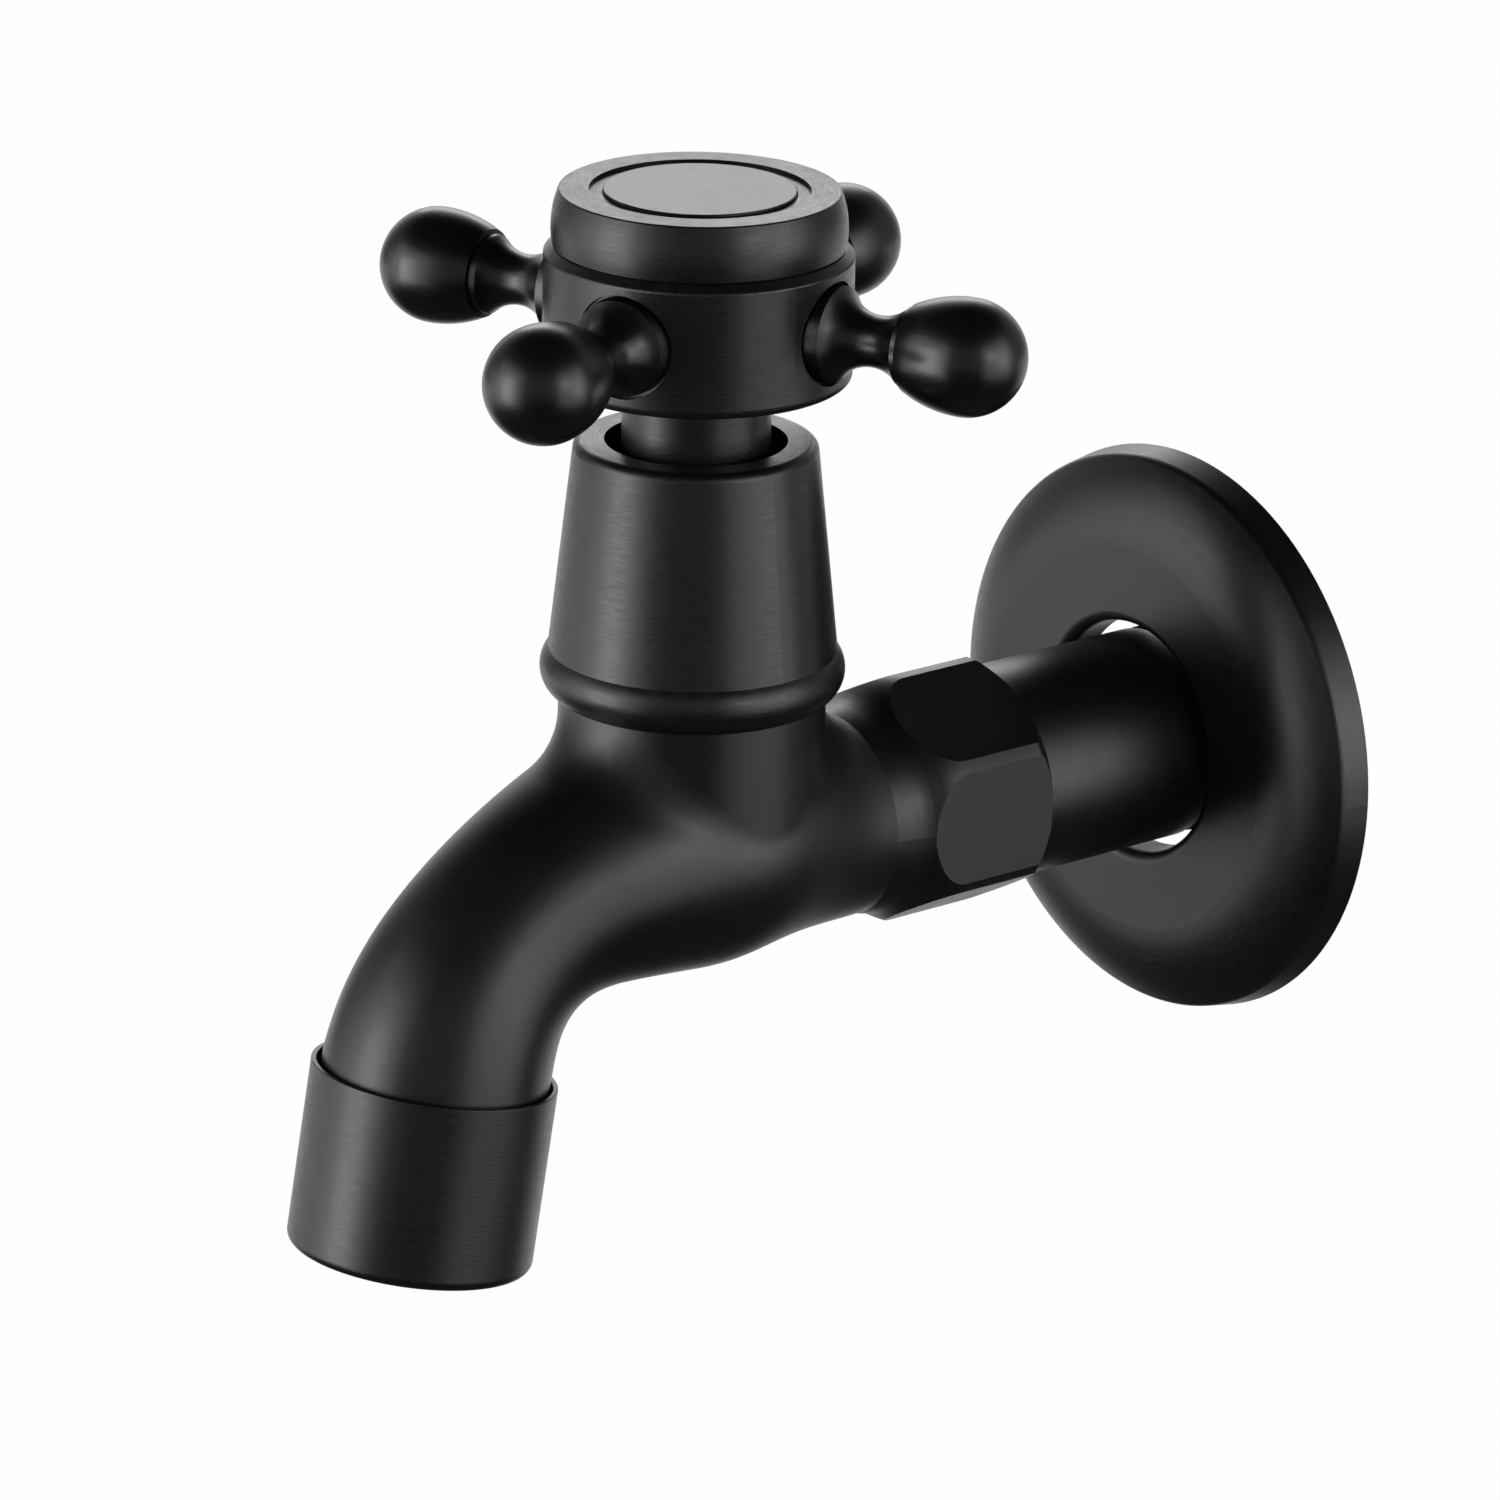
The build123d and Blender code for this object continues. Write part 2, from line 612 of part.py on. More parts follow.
def cartridge_body():
    bottom = SEAT_HEIGHT + CARRIER_LIFT
    hex_top = CARTRIDGE_SHOULDER + CARTRIDGE_HEX_HEIGHT
    solid = turned(
        (0, bottom),
        (CARRIER_R, bottom),
        (CARRIER_R, THREAD_START),
        (MOUTH_THREAD_R - FIT, THREAD_START, CARTRIDGE_THREAD_CHAMFER),
        (MOUTH_THREAD_R - FIT, CARTRIDGE_SHOULDER),
        (0, CARTRIDGE_SHOULDER),
    )
    corner = MOUTH_R - CARTRIDGE_HEX_INSET
    flats = corner * math.sqrt(3)
    nut = turned(
        (0, CARTRIDGE_SHOULDER),
        (corner, CARTRIDGE_SHOULDER),
        (corner, hex_top - CARTRIDGE_HEX_CHAMFER),
        (flats / 2, hex_top),
        (0, hex_top),
    )
    solid += nut & hexagon(flats, CARTRIDGE_SHOULDER, hex_top)
    step = CARTRIDGE_TOP - CARTRIDGE_TOP_HEIGHT
    solid += plug(CARTRIDGE_NECK_R, hex_top, step)
    solid += plug(CARTRIDGE_NECK_R - CARTRIDGE_TOP_STEP, step, CARTRIDGE_TOP)
    solid -= plug(CARRIER_BORE_R, bottom, CARRIER_ROOF)
    solid -= plug(SPINDLE_R + FIT, CARRIER_ROOF, CARTRIDGE_TOP)
    sill = TURNING_DISC_BOTTOM + CARRIER_WINDOW_SILL
    window = sector(CARRIER_BORE_R - PAST, CARRIER_R + PAST, CARRIER_WINDOW, sill, THREAD_START)
    ear_top = FIXED_DISC_BOTTOM + DISC_THICKNESS
    slot = Pos(CARRIER_R, 0, bottom) * ear(DISC_EAR + 2 * FIT, ear_top - bottom)
    for cut in around(window, 4) + around(slot, 2, 90):
        solid -= cut
    return on_valve(solid)


def ear(width, height):
    return Box(DISC_EAR_LENGTH, width, height, align=ON_FLOOR)


def fixed_disc():
    top = FIXED_DISC_BOTTOM + DISC_THICKNESS
    solid = plug(SEAL_R, FIXED_DISC_BOTTOM, top)
    ears = plug(CARRIER_R - FREE, FIXED_DISC_BOTTOM, top)
    bar = Pos(CARRIER_R - PAST, 0, FIXED_DISC_BOTTOM) * ear(DISC_EAR, DISC_THICKNESS)
    for side in around(bar, 2, 90):
        solid += ears & side
    port = sector(DISC_PORT_IN, DISC_PORT_OUT, DISC_PORT_ANGLE, FIXED_DISC_BOTTOM, top)
    for cut in around(port, 2):
        solid -= cut
    return on_valve(solid)


def turning_disc():
    top = TURNING_DISC_BOTTOM + DISC_THICKNESS
    solid = plug(DISC_R, TURNING_DISC_BOTTOM, top)
    port = sector(DISC_PORT_IN, DISC_R + PAST, DISC_PORT_ANGLE, TURNING_DISC_BOTTOM, top)
    for cut in around(port, 2, 90):
        solid -= cut
    for slot in dogs(FIT, top):
        solid -= slot
    return on_valve(solid)


def dogs(spare, top):
    """Two drive lugs that reach down from the spindle's foot into the turning disc."""
    lug = Box(DOG_LENGTH + 2 * spare, DOG_WIDTH + 2 * spare, DOG_DEPTH + spare, align=FROM_ROOF)
    return around(Pos(DISC_R - DOG_SET_IN, 0, top) * lug, 2)


def seat_seal():
    return on_valve(turned(
        (SEAL_R - SEAL_WALL, SEAT_HEIGHT, SEAL_EDGE),
        (SEAL_R, SEAT_HEIGHT, SEAL_EDGE),
        (SEAL_R, FIXED_DISC_BOTTOM),
        (SEAL_R - SEAL_WALL, FIXED_DISC_BOTTOM),
    ))


def cartridge_gasket():
    return on_valve(washer(MOUTH_THREAD_R, MOUTH_R, MOUTH_HEIGHT, CARTRIDGE_SHOULDER))


def slip_washer():
    return on_valve(washer(SPINDLE_R + FIT, DISC_R, SLIP_BOTTOM, SLIP_BOTTOM + SLIP_THICKNESS))


def toothed(radius, depth, bottom, top):
    """Bar along Z with pointed teeth."""
    points = []
    for step in range(2 * SPLINE_TEETH):
        reach = radius if step % 2 == 0 else radius - depth
        angle = math.pi * step / SPLINE_TEETH
        points.append((reach * math.cos(angle), reach * math.sin(angle)))
    outline = make_face(Polyline(*points, close=True))
    return Pos(0, 0, bottom) * extrude(outline, top - bottom)


def spindle():
    plain_top = CIRCLIP_BOTTOM + CIRCLIP_THICKNESS
    solid = plug(DISC_R, FOOT_BOTTOM, SLIP_BOTTOM) + plug(SPINDLE_R, SLIP_BOTTOM, plain_top)
    solid += toothed(SPLINE_R, SPLINE_DEPTH, plain_top, SPINDLE_TOP)
    for lug in dogs(0, FOOT_BOTTOM):
        solid += lug
    for depth in RING_DEPTHS:
        low = CARTRIDGE_TOP - depth - RING_WIDTH / 2
        solid -= washer(SPINDLE_R - RING_GROOVE, SPINDLE_R + FIT, low, low + RING_WIDTH)
    solid -= washer(SPINDLE_R - CIRCLIP_GROOVE, SPINDLE_R + FIT, CIRCLIP_BOTTOM, plain_top)
    solid -= plug(SCREW_R + FIT, SCREW_HOLE_BOTTOM, SPINDLE_TOP)
    return on_valve(solid)


def spindle_o_rings():
    inner = SPINDLE_R - RING_GROOVE
    outer = SPINDLE_R + FIT - FILM
    return Compound([on_valve(o_ring(inner, outer, CARTRIDGE_TOP - depth)) for depth in RING_DEPTHS])


def spindle_circlip():
    inner = SPINDLE_R - CIRCLIP_GROOVE
    clip = washer(inner, CIRCLIP_R, CIRCLIP_BOTTOM, CIRCLIP_BOTTOM + CIRCLIP_THICKNESS)
    opening = Box(2 * CIRCLIP_R, CIRCLIP_OPENING, CIRCLIP_THICKNESS, align=ON_FLOOR)
    return on_valve(clip - Pos(inner, 0, CIRCLIP_BOTTOM) * opening)


def handle_hub():
    shoulder_r = HUB_R - HUB_SHOULDER
    solid = turned(
        (0, HUB_NECK_BOTTOM),
        (HUB_NECK_R, HUB_NECK_BOTTOM, HUB_NECK_EDGE),
        (HUB_NECK_R, HUB_BOTTOM, HUB_NECK_FILLET),
        (HUB_R, HUB_BOTTOM, HUB_EDGE),
        (HUB_R, HUB_TOP - HUB_SHOULDER, HUB_SHOULDER_EDGE),
        (shoulder_r, HUB_TOP, HUB_TOP_EDGE),
        (0, HUB_TOP),
    )
    solid -= toothed(SPLINE_R + FIT, SPLINE_DEPTH, HUB_NECK_BOTTOM, WEB_BOTTOM)
    solid -= plug(SCREW_R + SCREW_HOLE_SPARE, WEB_BOTTOM, WEB_TOP)
    solid -= plug(HUB_WELL_R, WEB_TOP, CAP_SPIGOT_BOTTOM)
    solid -= plug(CAP_SPIGOT_R + FIT, CAP_SPIGOT_BOTTOM - FIT, HUB_TOP)
    seat = plug(SPOKE_BASE_R + FIT, SPOKE_SEAT, HUB_R + PAST)
    hole = plug(STUD_R + FIT, SPOKE_SEAT - STUD_LENGTH - FREE, SPOKE_SEAT)
    for index in range(SPOKE_COUNT):
        solid -= along_spoke(seat + hole, index)
    return on_valve(solid)


def along_spoke(shape, index):
    """Local Z becomes the distance from the valve's axis along one spoke."""
    angle = SPOKE_ANGLE + 360 / SPOKE_COUNT * index
    return Rot(0, 0, angle) * Pos(0, 0, SPOKE_HEIGHT) * Rot(0, 90, 0) * shape


def spoke(index):
    """Turned spoke: stud, base land, hollow waist, sharp collar and egg-shaped ball."""
    land_top = SPOKE_SEAT + SPOKE_LAND
    stud_end = SPOKE_SEAT - STUD_LENGTH
    length = BALL_CENTRE - SPOKE_COLLAR
    sink = (length ** 2 + SPOKE_COLLAR_R ** 2 - BALL_R ** 2) / (2 * (BALL_R - SPOKE_COLLAR_R))
    egg_r = BALL_R + sink
    turn = math.asin(length / egg_r) / 2
    egg_middle = (egg_r * math.cos(turn) - sink, BALL_CENTRE - egg_r * math.sin(turn))
    waist = (SPOKE_WAIST_R, SPOKE_WAIST)
    neck_top = (SPOKE_COLLAR_R - SPOKE_COLLAR_STEP, SPOKE_COLLAR - SPOKE_COLLAR_LAND)
    collar = (SPOKE_COLLAR_R, SPOKE_COLLAR)
    edges = [
        Polyline((0, stud_end), (STUD_R, stud_end), (STUD_R, SPOKE_SEAT)),
        Polyline((STUD_R, SPOKE_SEAT), (SPOKE_BASE_R, SPOKE_SEAT), (SPOKE_BASE_R, land_top)),
        hollow_arc((SPOKE_BASE_R, land_top), waist),
        hollow_arc(neck_top, waist),
        Line(neck_top, collar),
        ThreePointArc(collar, egg_middle, (BALL_R, BALL_CENTRE)),
        ThreePointArc((BALL_R, BALL_CENTRE), ball_point(45), (0, BALL_CENTRE + BALL_R)),
        Line((0, BALL_CENTRE + BALL_R), (0, stud_end)),
    ]
    solid = revolve(Plane.XZ * make_face(edges), Axis.Z)
    return on_valve(along_spoke(solid, index))


def ball_point(angle):
    angle = math.radians(angle)
    return (BALL_R * math.cos(angle), BALL_CENTRE + BALL_R * math.sin(angle))


def hollow_arc(edge, waist):
    """Concave arc from an edge point down to the waist, level at the waist."""
    run = edge[1] - waist[1]
    rise = edge[0] - waist[0]
    radius = (run * run + rise * rise) / (2 * rise)
    turn = math.asin(run / radius) / 2
    middle = (waist[0] + radius * (1 - math.cos(turn)), waist[1] + radius * math.sin(turn))
    return ThreePointArc(edge, middle, waist)


def handle_cap():
    foot = HUB_TOP
    top_r = CAP_FOOT_R - CAP_TAPER
    bulge = (CAP_FOOT_R + CAP_BULGE, foot + CAP_HEIGHT * CAP_BULGE_SHARE)
    edges = [
        Line((0, foot), (CAP_FOOT_R, foot)),
        ThreePointArc((CAP_FOOT_R, foot), bulge, (top_r, CAP_TOP)),
        Line((top_r, CAP_TOP), (0, CAP_TOP)),
        Line((0, CAP_TOP), (0, foot)),
    ]
    solid = revolve(Plane.XZ * make_face(edges), Axis.Z)
    solid = fillet(solid.edges().filter_by(GeomType.CIRCLE), CAP_EDGE)
    solid += plug(CAP_SPIGOT_R, CAP_SPIGOT_BOTTOM, foot + PAST)
    pocket_floor = CAP_TOP - PLATE_DISC_THICKNESS
    groove_r = PLATE_DISC_R + CAP_GROOVE_WIDTH
    solid -= plug(PLATE_DISC_R + FIT, pocket_floor, CAP_TOP)
    solid -= washer(PLATE_DISC_R, groove_r, CAP_TOP - CAP_GROOVE_DEPTH, CAP_TOP)
    solid -= plug(CAP_CAVITY_R, CAP_SPIGOT_BOTTOM, pocket_floor - CAP_FLOOR)
    return on_valve(solid)


def index_disc():
    low = CAP_TOP - PLATE_DISC_THICKNESS
    edge = (PLATE_DISC_R, CAP_TOP, PLATE_DISC_EDGE)
    return on_valve(turned((0, low), (PLATE_DISC_R, low), edge, (0, CAP_TOP)))


def handle_screw():
    head_bottom = WEB_TOP + LOCK_WASHER
    head_top = head_bottom + SCREW_HEAD
    solid = turned(
        (0, SCREW_HOLE_BOTTOM + FREE),
        (SCREW_R, SCREW_HOLE_BOTTOM + FREE, SCREW_END_EDGE),
        (SCREW_R, head_bottom),
        (SCREW_HEAD_R, head_bottom),
        (SCREW_HEAD_R, head_top, SCREW_HEAD_EDGE),
        (0, head_top),
    )
    solid -= hexagon(SCREW_KEY, head_bottom + SCREW_HEAD * SCREW_KEY_FLOOR, head_top)
    return on_valve(solid)


def lock_washer():
    outer = SCREW_HEAD_R + LOCK_WASHER_STEP
    solid = washer(SCREW_R + FIT, outer, WEB_TOP, WEB_TOP + LOCK_WASHER)
    saw = Box(outer, LOCK_WASHER_SPLIT, 4 * LOCK_WASHER)
    split = Pos(outer, 0, WEB_TOP) * Rot(LOCK_WASHER_SLANT, 0, 0) * saw
    return on_valve(solid - split)


def nozzle_sleeve():
    solid = turned(
        (NOZZLE_R - NOZZLE_RIM, 0, NOZZLE_RIM_EDGE),
        (NOZZLE_R, 0, NOZZLE_RIM_EDGE),
        (NOZZLE_R, NOZZLE_LENGTH, NOZZLE_EDGE),
        (NOZZLE_MOUTH_R, NOZZLE_LENGTH, NOZZLE_MOUTH_EDGE),
        (NOZZLE_MOUTH_R, AERATOR_SEAT),
        (NIPPLE_R + FIT, AERATOR_SEAT),
        (NIPPLE_R + FIT, NOZZLE_SOCKET + FIT),
        (NOZZLE_R - NOZZLE_RIM, NOZZLE_SOCKET + FIT),
    )
    return on_nozzle(solid)


def nozzle_washer():
    return on_nozzle(washer(SPOUT_BORE_R, NIPPLE_R, NIPPLE_END, AERATOR_TOP))


def aerator_housing():
    ledge_r = AERATOR_BORE_R - AERATOR_LEDGE
    plate_seat = AERATOR_TOP + FLOW_PLATE
    end = NOZZLE_LENGTH - AERATOR_END_GAP
    return on_nozzle(turned(
        (AERATOR_BORE_R, AERATOR_TOP),
        (NIPPLE_R, AERATOR_TOP),
        (NIPPLE_R, AERATOR_SEAT, AERATOR_EDGE),
        (AERATOR_R, AERATOR_SEAT),
        (AERATOR_R, end, AERATOR_EDGE),
        (ledge_r, end, AERATOR_EDGE),
        (ledge_r, SCREEN_SEAT),
        (AERATOR_BORE_R, SCREEN_SEAT),
        (AERATOR_BORE_R, SCREEN_TOP),
        (ledge_r, SCREEN_TOP),
        (ledge_r, plate_seat),
        (AERATOR_BORE_R, plate_seat),
    ))


def aerator_flow_plate():
    radius = AERATOR_BORE_R - FIT
    solid = plug(radius, AERATOR_TOP, AERATOR_TOP + FLOW_PLATE)
    hole = plug(FLOW_HOLE_R, AERATOR_TOP, AERATOR_TOP + FLOW_PLATE)
    for cut in around(Pos(radius * FLOW_HOLE_RING, 0, 0) * hole, FLOW_HOLES):
        solid -= cut
    return on_nozzle(solid)


def aerator_screen():
    """Square mesh in a rim, modelled as one holed disc."""
    radius = AERATOR_BORE_R - FIT
    reach = radius - SCREEN_RIM
    half = int(reach / SCREEN_PITCH) + 1
    opening = SCREEN_PITCH - SCREEN_WIRE
    net = Circle(radius)
    for column in range(-half, half + 1):
        for row in range(-half, half + 1):
            middle = (column * SCREEN_PITCH, row * SCREEN_PITCH)
            if math.hypot(*middle) + opening / math.sqrt(2) < reach:
                net -= Pos(*middle) * Rectangle(opening, opening)
    return on_nozzle(Pos(0, 0, SCREEN_TOP) * extrude(net, SCREEN_THICKNESS))


def build():
    pieces = {
        "tap_body": tap_body(),
        "inlet_shank": inlet_shank(),
        "shank_o_ring": shank_o_ring(),
        "wall_flange": wall_flange(),
        "bonnet_cover": bonnet_cover(),
        "cartridge_body": cartridge_body(),
        "cartridge_gasket": cartridge_gasket(),
        "seat_seal": seat_seal(),
        "fixed_disc": fixed_disc(),
        "turning_disc": turning_disc(),
        "slip_washer": slip_washer(),
        "spindle": spindle(),
        "spindle_o_rings": spindle_o_rings(),
        "spindle_circlip": spindle_circlip(),
        "handle_hub": handle_hub(),
        "handle_cap": handle_cap(),
        "index_disc": index_disc(),
        "handle_screw": handle_screw(),
        "lock_washer": lock_washer(),
        "nozzle_sleeve": nozzle_sleeve(),
        "nozzle_washer": nozzle_washer(),
        "aerator_housing": aerator_housing(),
        "aerator_flow_plate": aerator_flow_plate(),
        "aerator_screen": aerator_screen(),
    }
    for index, side in enumerate(("right", "back", "left", "front")):
        pieces["spoke_" + side] = spoke(index)
    return pieces


os.makedirs("parts", exist_ok=True)
for name, piece in build().items():
    export_step(piece, f"parts/{name}.step")
    print(name, round(piece.volume, 1))
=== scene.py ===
import math

import bpy
from bpy.props import FloatProperty, FloatVectorProperty, PointerProperty
from bpy.types import Operator, Panel, PropertyGroup
from mathutils import Matrix, Vector


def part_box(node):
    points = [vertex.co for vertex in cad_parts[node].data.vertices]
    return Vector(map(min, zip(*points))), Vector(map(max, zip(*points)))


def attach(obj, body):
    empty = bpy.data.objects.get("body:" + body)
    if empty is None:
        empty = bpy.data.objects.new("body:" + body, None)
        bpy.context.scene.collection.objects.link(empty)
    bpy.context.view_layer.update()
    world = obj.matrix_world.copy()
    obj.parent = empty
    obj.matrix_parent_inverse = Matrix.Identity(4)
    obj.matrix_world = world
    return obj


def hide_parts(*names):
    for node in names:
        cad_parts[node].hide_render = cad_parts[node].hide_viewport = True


bl_info = {
    "name": "Garden Tap",
    "version": (1, 0, 0),
    "blender": (4, 5, 0),
    "location": "3D View > Sidebar > Garden Tap",
    "description": "Finishes, pipe thread, outlet mesh and spokes of a black garden tap",
    "category": "Object",
}

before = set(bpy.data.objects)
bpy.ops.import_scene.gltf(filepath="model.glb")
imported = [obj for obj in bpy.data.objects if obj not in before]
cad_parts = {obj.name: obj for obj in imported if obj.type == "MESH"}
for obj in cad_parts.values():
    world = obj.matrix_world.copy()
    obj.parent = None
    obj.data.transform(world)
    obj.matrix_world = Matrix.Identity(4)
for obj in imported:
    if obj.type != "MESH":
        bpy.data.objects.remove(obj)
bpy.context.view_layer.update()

# Lengths are in metres and angles in radians, except in the table of lamps

# Corners of a copied CAD mesh that lie closer than this become one
MERGE = 0.000002

# Edges that turn by less than these angles are shaded smooth
SMOOTH_SHANK = math.radians(24)
SMOOTH_MESH = math.radians(40)
SMOOTH_SPOKE = math.radians(19)

# A quarter turn
QUARTER = math.radians(90)

# The lean of the outlet away from the wall, about X
NOZZLE_TILT = math.radians(-9.5)

# The pipe thread: slope of its flanks, width of its root, how far its cutter stands proud of the
# crest, where along Y it ends, and the steps in one turn
THREAD_FLANK = math.radians(27.5)
THREAD_ROOT_FLAT = 0.00024
THREAD_PAST = 0.0003
THREAD_END = -0.00272
THREAD_STEPS = 72

# The outlet mesh: room between crossing wires, straight share of a wire between crossings, width
# and thickness of the rim, how upright a face's normal is at the ends of the rim, and the sides of
# its round shapes
MESH_ROOM = 0.00001
MESH_FLAT = 0.4
MESH_RIM = 0.00075
MESH_THICKNESS = 0.0006
MESH_END_NORMAL = 0.9
MESH_WIRE_SIDES = 6
MESH_CUTTER_SIDES = 48
MESH_RIM_SIDES = 96

# The spokes in the order of a turn of the handle, the way the first one points, and the heights
# over the seat and radii of the rings in their outline
SPOKES = ("spoke_right", "spoke_back", "spoke_left", "spoke_front")
SPOKE_ANGLE = math.radians(22.5)
SPOKE_SEAT = 0.0135
SPOKE_LAND = 0.0012
SPOKE_LAND_R = 0.00485
SPOKE_NECK_END = 0.0087
SPOKE_NECK_END_R = 0.004
RING_ROOM = 0.00004

# Turning marks: how fine they are across their run and along it, in marks per metre, the share of
# the marks in the gloss, and the patches over them
STREAK_FINENESS = 5000.0
STREAK_RUN = 620.0
STREAK_DETAIL = 3.0
STREAK_SHARE = 0.7
STREAK_PATCH_SCALE = 140.0

# The skin of a casting: how fine its pebble and its patches are
SKIN_FINENESS = 4200.0
SKIN_PATCH_SCALE = 90.0
PATCH_DETAIL = 2.0

# How far a pattern moves a colour, and the part of the pattern's range that moves the gloss
TONE_SPREAD = 0.25
GLOSS_RANGE = (0.3, 0.7)

# Colours that stay as they are
PLATE_COLOUR = (0.004, 0.004, 0.004)
RUBBER_COLOUR = (0.012, 0.012, 0.012)
CERAMIC_COLOUR = (0.72, 0.7, 0.66)
PLASTIC_COLOUR = (0.55, 0.56, 0.57)

WHITE = (1, 1, 1, 1)
FLOOR_COLOUR = (0.2, 0.2, 0.2, 1)
FLOOR_ROUGHNESS = 0.9
FLOOR_RADIUS = 14
FLOOR_SIDES = 64
FLOOR_MIDDLE_Y = -0.06
SURROUND_COLOUR = (0.8, 0.8, 0.8, 1)

# How much of the floor that the lens sees is plain white. The rest is lit, and keeps the shadow
FLOOR_WHITE = 0.99

# The level way from the lens to the tap. The floor is white in metal from the first to the second
# distance along it, and the surround from the first to the second share of it
BEHIND = (-0.78, 0.626, 0)
FLOOR_SWEEP = (1.5, 4)
WORLD_SWEEP = (0.75, 0.95)

# The band of plain light round the horizon: its middle, where it fades, and what is left outside
BAND_MIDDLE = 0.06
BAND_EDGE = (0.38, 0.65)
BAND_OUTSIDE = 0.02

# What the lamps point at, and the lamps by name, azimuth and elevation in degrees, distance,
# width, height and radiance
LAMP_AIM = (0, -0.055, 0.02)
LAMPS = (
    ("left_window", -19, 3, 1.32, 1.5, 1.5, 1.46),
    ("left_middle", -17, -1, 1.3, 0.55, 0.9, 4.2),
    ("left_far", -54, -8, 1.3, 0.65, 0.95, 0.63),
    ("right_window", 111, 5, 1.32, 1.5, 1.5, 1.31),
    ("right_middle", 119, 5, 1.3, 0.55, 0.65, 1.85),
    ("right_small", 95, 14, 1.28, 0.32, 0.32, 3.2),
    ("back_window", 231, 21, 1.3, 0.7, 0.37, 2.5),
)

# The camera. Its lens and sensor are in millimetres
CAMERA_LENS = 184.41
CAMERA_SENSOR = 36
CAMERA_CLIP = (0.01, 50)
CAMERA_PLACE = (0.53543, -0.48318, 0.25324)
CAMERA_TARGET = (0.09253, -0.12806, 0.05083)
CAMERA_ROLL = math.radians(1.11)


# Sizes and colours that a user would change


class TapCoating(PropertyGroup):
    colour: FloatVectorProperty(
        name="Coating",
        description="Colour of the black coating",
        subtype="COLOR",
        size=3,
        min=0,
        max=1,
        default=(0.003, 0.003, 0.0032),
    )
    roughness: FloatProperty(
        name="Roughness",
        description="How matt the coating is",
        subtype="FACTOR",
        min=0,
        max=1,
        default=0.36,
    )
    spoke_roughness: FloatProperty(
        name="Spoke roughness",
        description="How matt the coating is on the spokes, which are handled most",
        subtype="FACTOR",
        min=0,
        max=1,
        default=0.3,
    )
    grain: FloatProperty(
        name="Brush marks",
        description="Depth of the turning and brushing marks under the coating",
        subtype="DISTANCE",
        unit="LENGTH",
        min=0,
        default=0.00001,
    )


class TapMetals(PropertyGroup):
    brass: FloatVectorProperty(
        name="Brass",
        description="Colour of bare brass inside the tap",
        subtype="COLOR",
        size=3,
        min=0,
        max=1,
        default=(0.72, 0.5, 0.22),
    )
    steel: FloatVectorProperty(
        name="Steel",
        description="Colour of the stainless steel pieces",
        subtype="COLOR",
        size=3,
        min=0,
        max=1,
        default=(0.58, 0.58, 0.57),
    )


class TapThread(PropertyGroup):
    pitch: FloatProperty(
        name="Pitch",
        description="Distance from one turn of the pipe thread to the next",
        unit="LENGTH",
        min=0.0005,
        default=0.001814,
    )
    depth: FloatProperty(
        name="Depth",
        description="Depth of the pipe thread",
        unit="LENGTH",
        min=0.0001,
        default=0.00115,
    )


class TapMesh(PropertyGroup):
    pitch: FloatProperty(
        name="Wire spacing",
        description="Distance from one wire of the outlet mesh to the next",
        unit="LENGTH",
        min=0.0003,
        default=0.00085,
    )
    wire: FloatProperty(
        name="Wire",
        description="Thickness of the wires of the outlet mesh",
        unit="LENGTH",
        min=0.0001,
        default=0.00024,
    )


class TapSpokes(PropertyGroup):
    land: FloatProperty(
        name="Land",
        description="Height of the straight foot of a spoke in its seat",
        unit="LENGTH",
        min=0.0002,
        max=0.0012,
        default=0.0005,
    )
    foot_share: FloatProperty(
        name="Foot",
        description="Width of the foot, as a share of its seat in the hub",
        min=0.85,
        max=1,
        default=0.953,
    )
    crease: FloatProperty(
        name="Crease",
        description="How far the end of the neck runs on to the edge of the ball",
        unit="LENGTH",
        min=0,
        max=0.00038,
        default=0.00032,
    )
    neck_share: FloatProperty(
        name="Neck end",
        description="Width of the end of the neck, as a share of its width in the solid",
        min=0.8,
        max=1,
        default=0.955,
    )


class TapStudio(PropertyGroup):
    floor_drop: FloatProperty(
        name="Floor below",
        description="Distance from the tap's inlet down to the floor",
        unit="LENGTH",
        min=0.1,
        default=2.4,
    )
    surround: FloatProperty(
        name="Surround",
        description="Strength of the plain light from all round",
        min=0,
        default=0.36,
    )


# Places and selection


def middle(node):
    """The middle of a CAD node's box."""
    low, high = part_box(node)
    return (low + high) / 2


def valve_axis():
    """A point on the upright axis through the valve, cover and handle."""
    return Vector((0, middle("bonnet_cover").y, 0))


def context_object(name):
    """The object that an operator has just added, named."""
    item = bpy.context.object
    item.name = name
    return item


def alone(item):
    """Makes one object the only one selected, and the active one."""
    bpy.ops.object.select_all(action="DESELECT")
    item.select_set(True)
    bpy.context.view_layer.objects.active = item


def settle(item):
    """Puts an object's place and turn into its mesh."""
    alone(item)
    bpy.ops.object.transform_apply(location=True, rotation=True, scale=True)


def pick_nothing(item, mode):
    """Opens an object with the given select mode and nothing selected, and closes it again."""
    bpy.context.tool_settings.mesh_select_mode = mode
    alone(item)
    bpy.ops.object.mode_set(mode="EDIT")
    bpy.ops.mesh.select_all(action="DESELECT")
    bpy.ops.object.mode_set(mode="OBJECT")


def pick_faces(item, wanted):
    """Selects the faces of an object that a test on the face wants, and no others."""
    pick_nothing(item, (False, False, True))
    for face in item.data.polygons:
        face.select = wanted(face)
    bpy.ops.object.mode_set(mode="EDIT")


def pick_corners(item, wanted):
    """Selects the corners of an object whose place a test wants, and no others."""
    pick_nothing(item, (True, False, False))
    for corner in item.data.vertices:
        corner.select = wanted(corner.co)
    bpy.ops.object.mode_set(mode="EDIT")


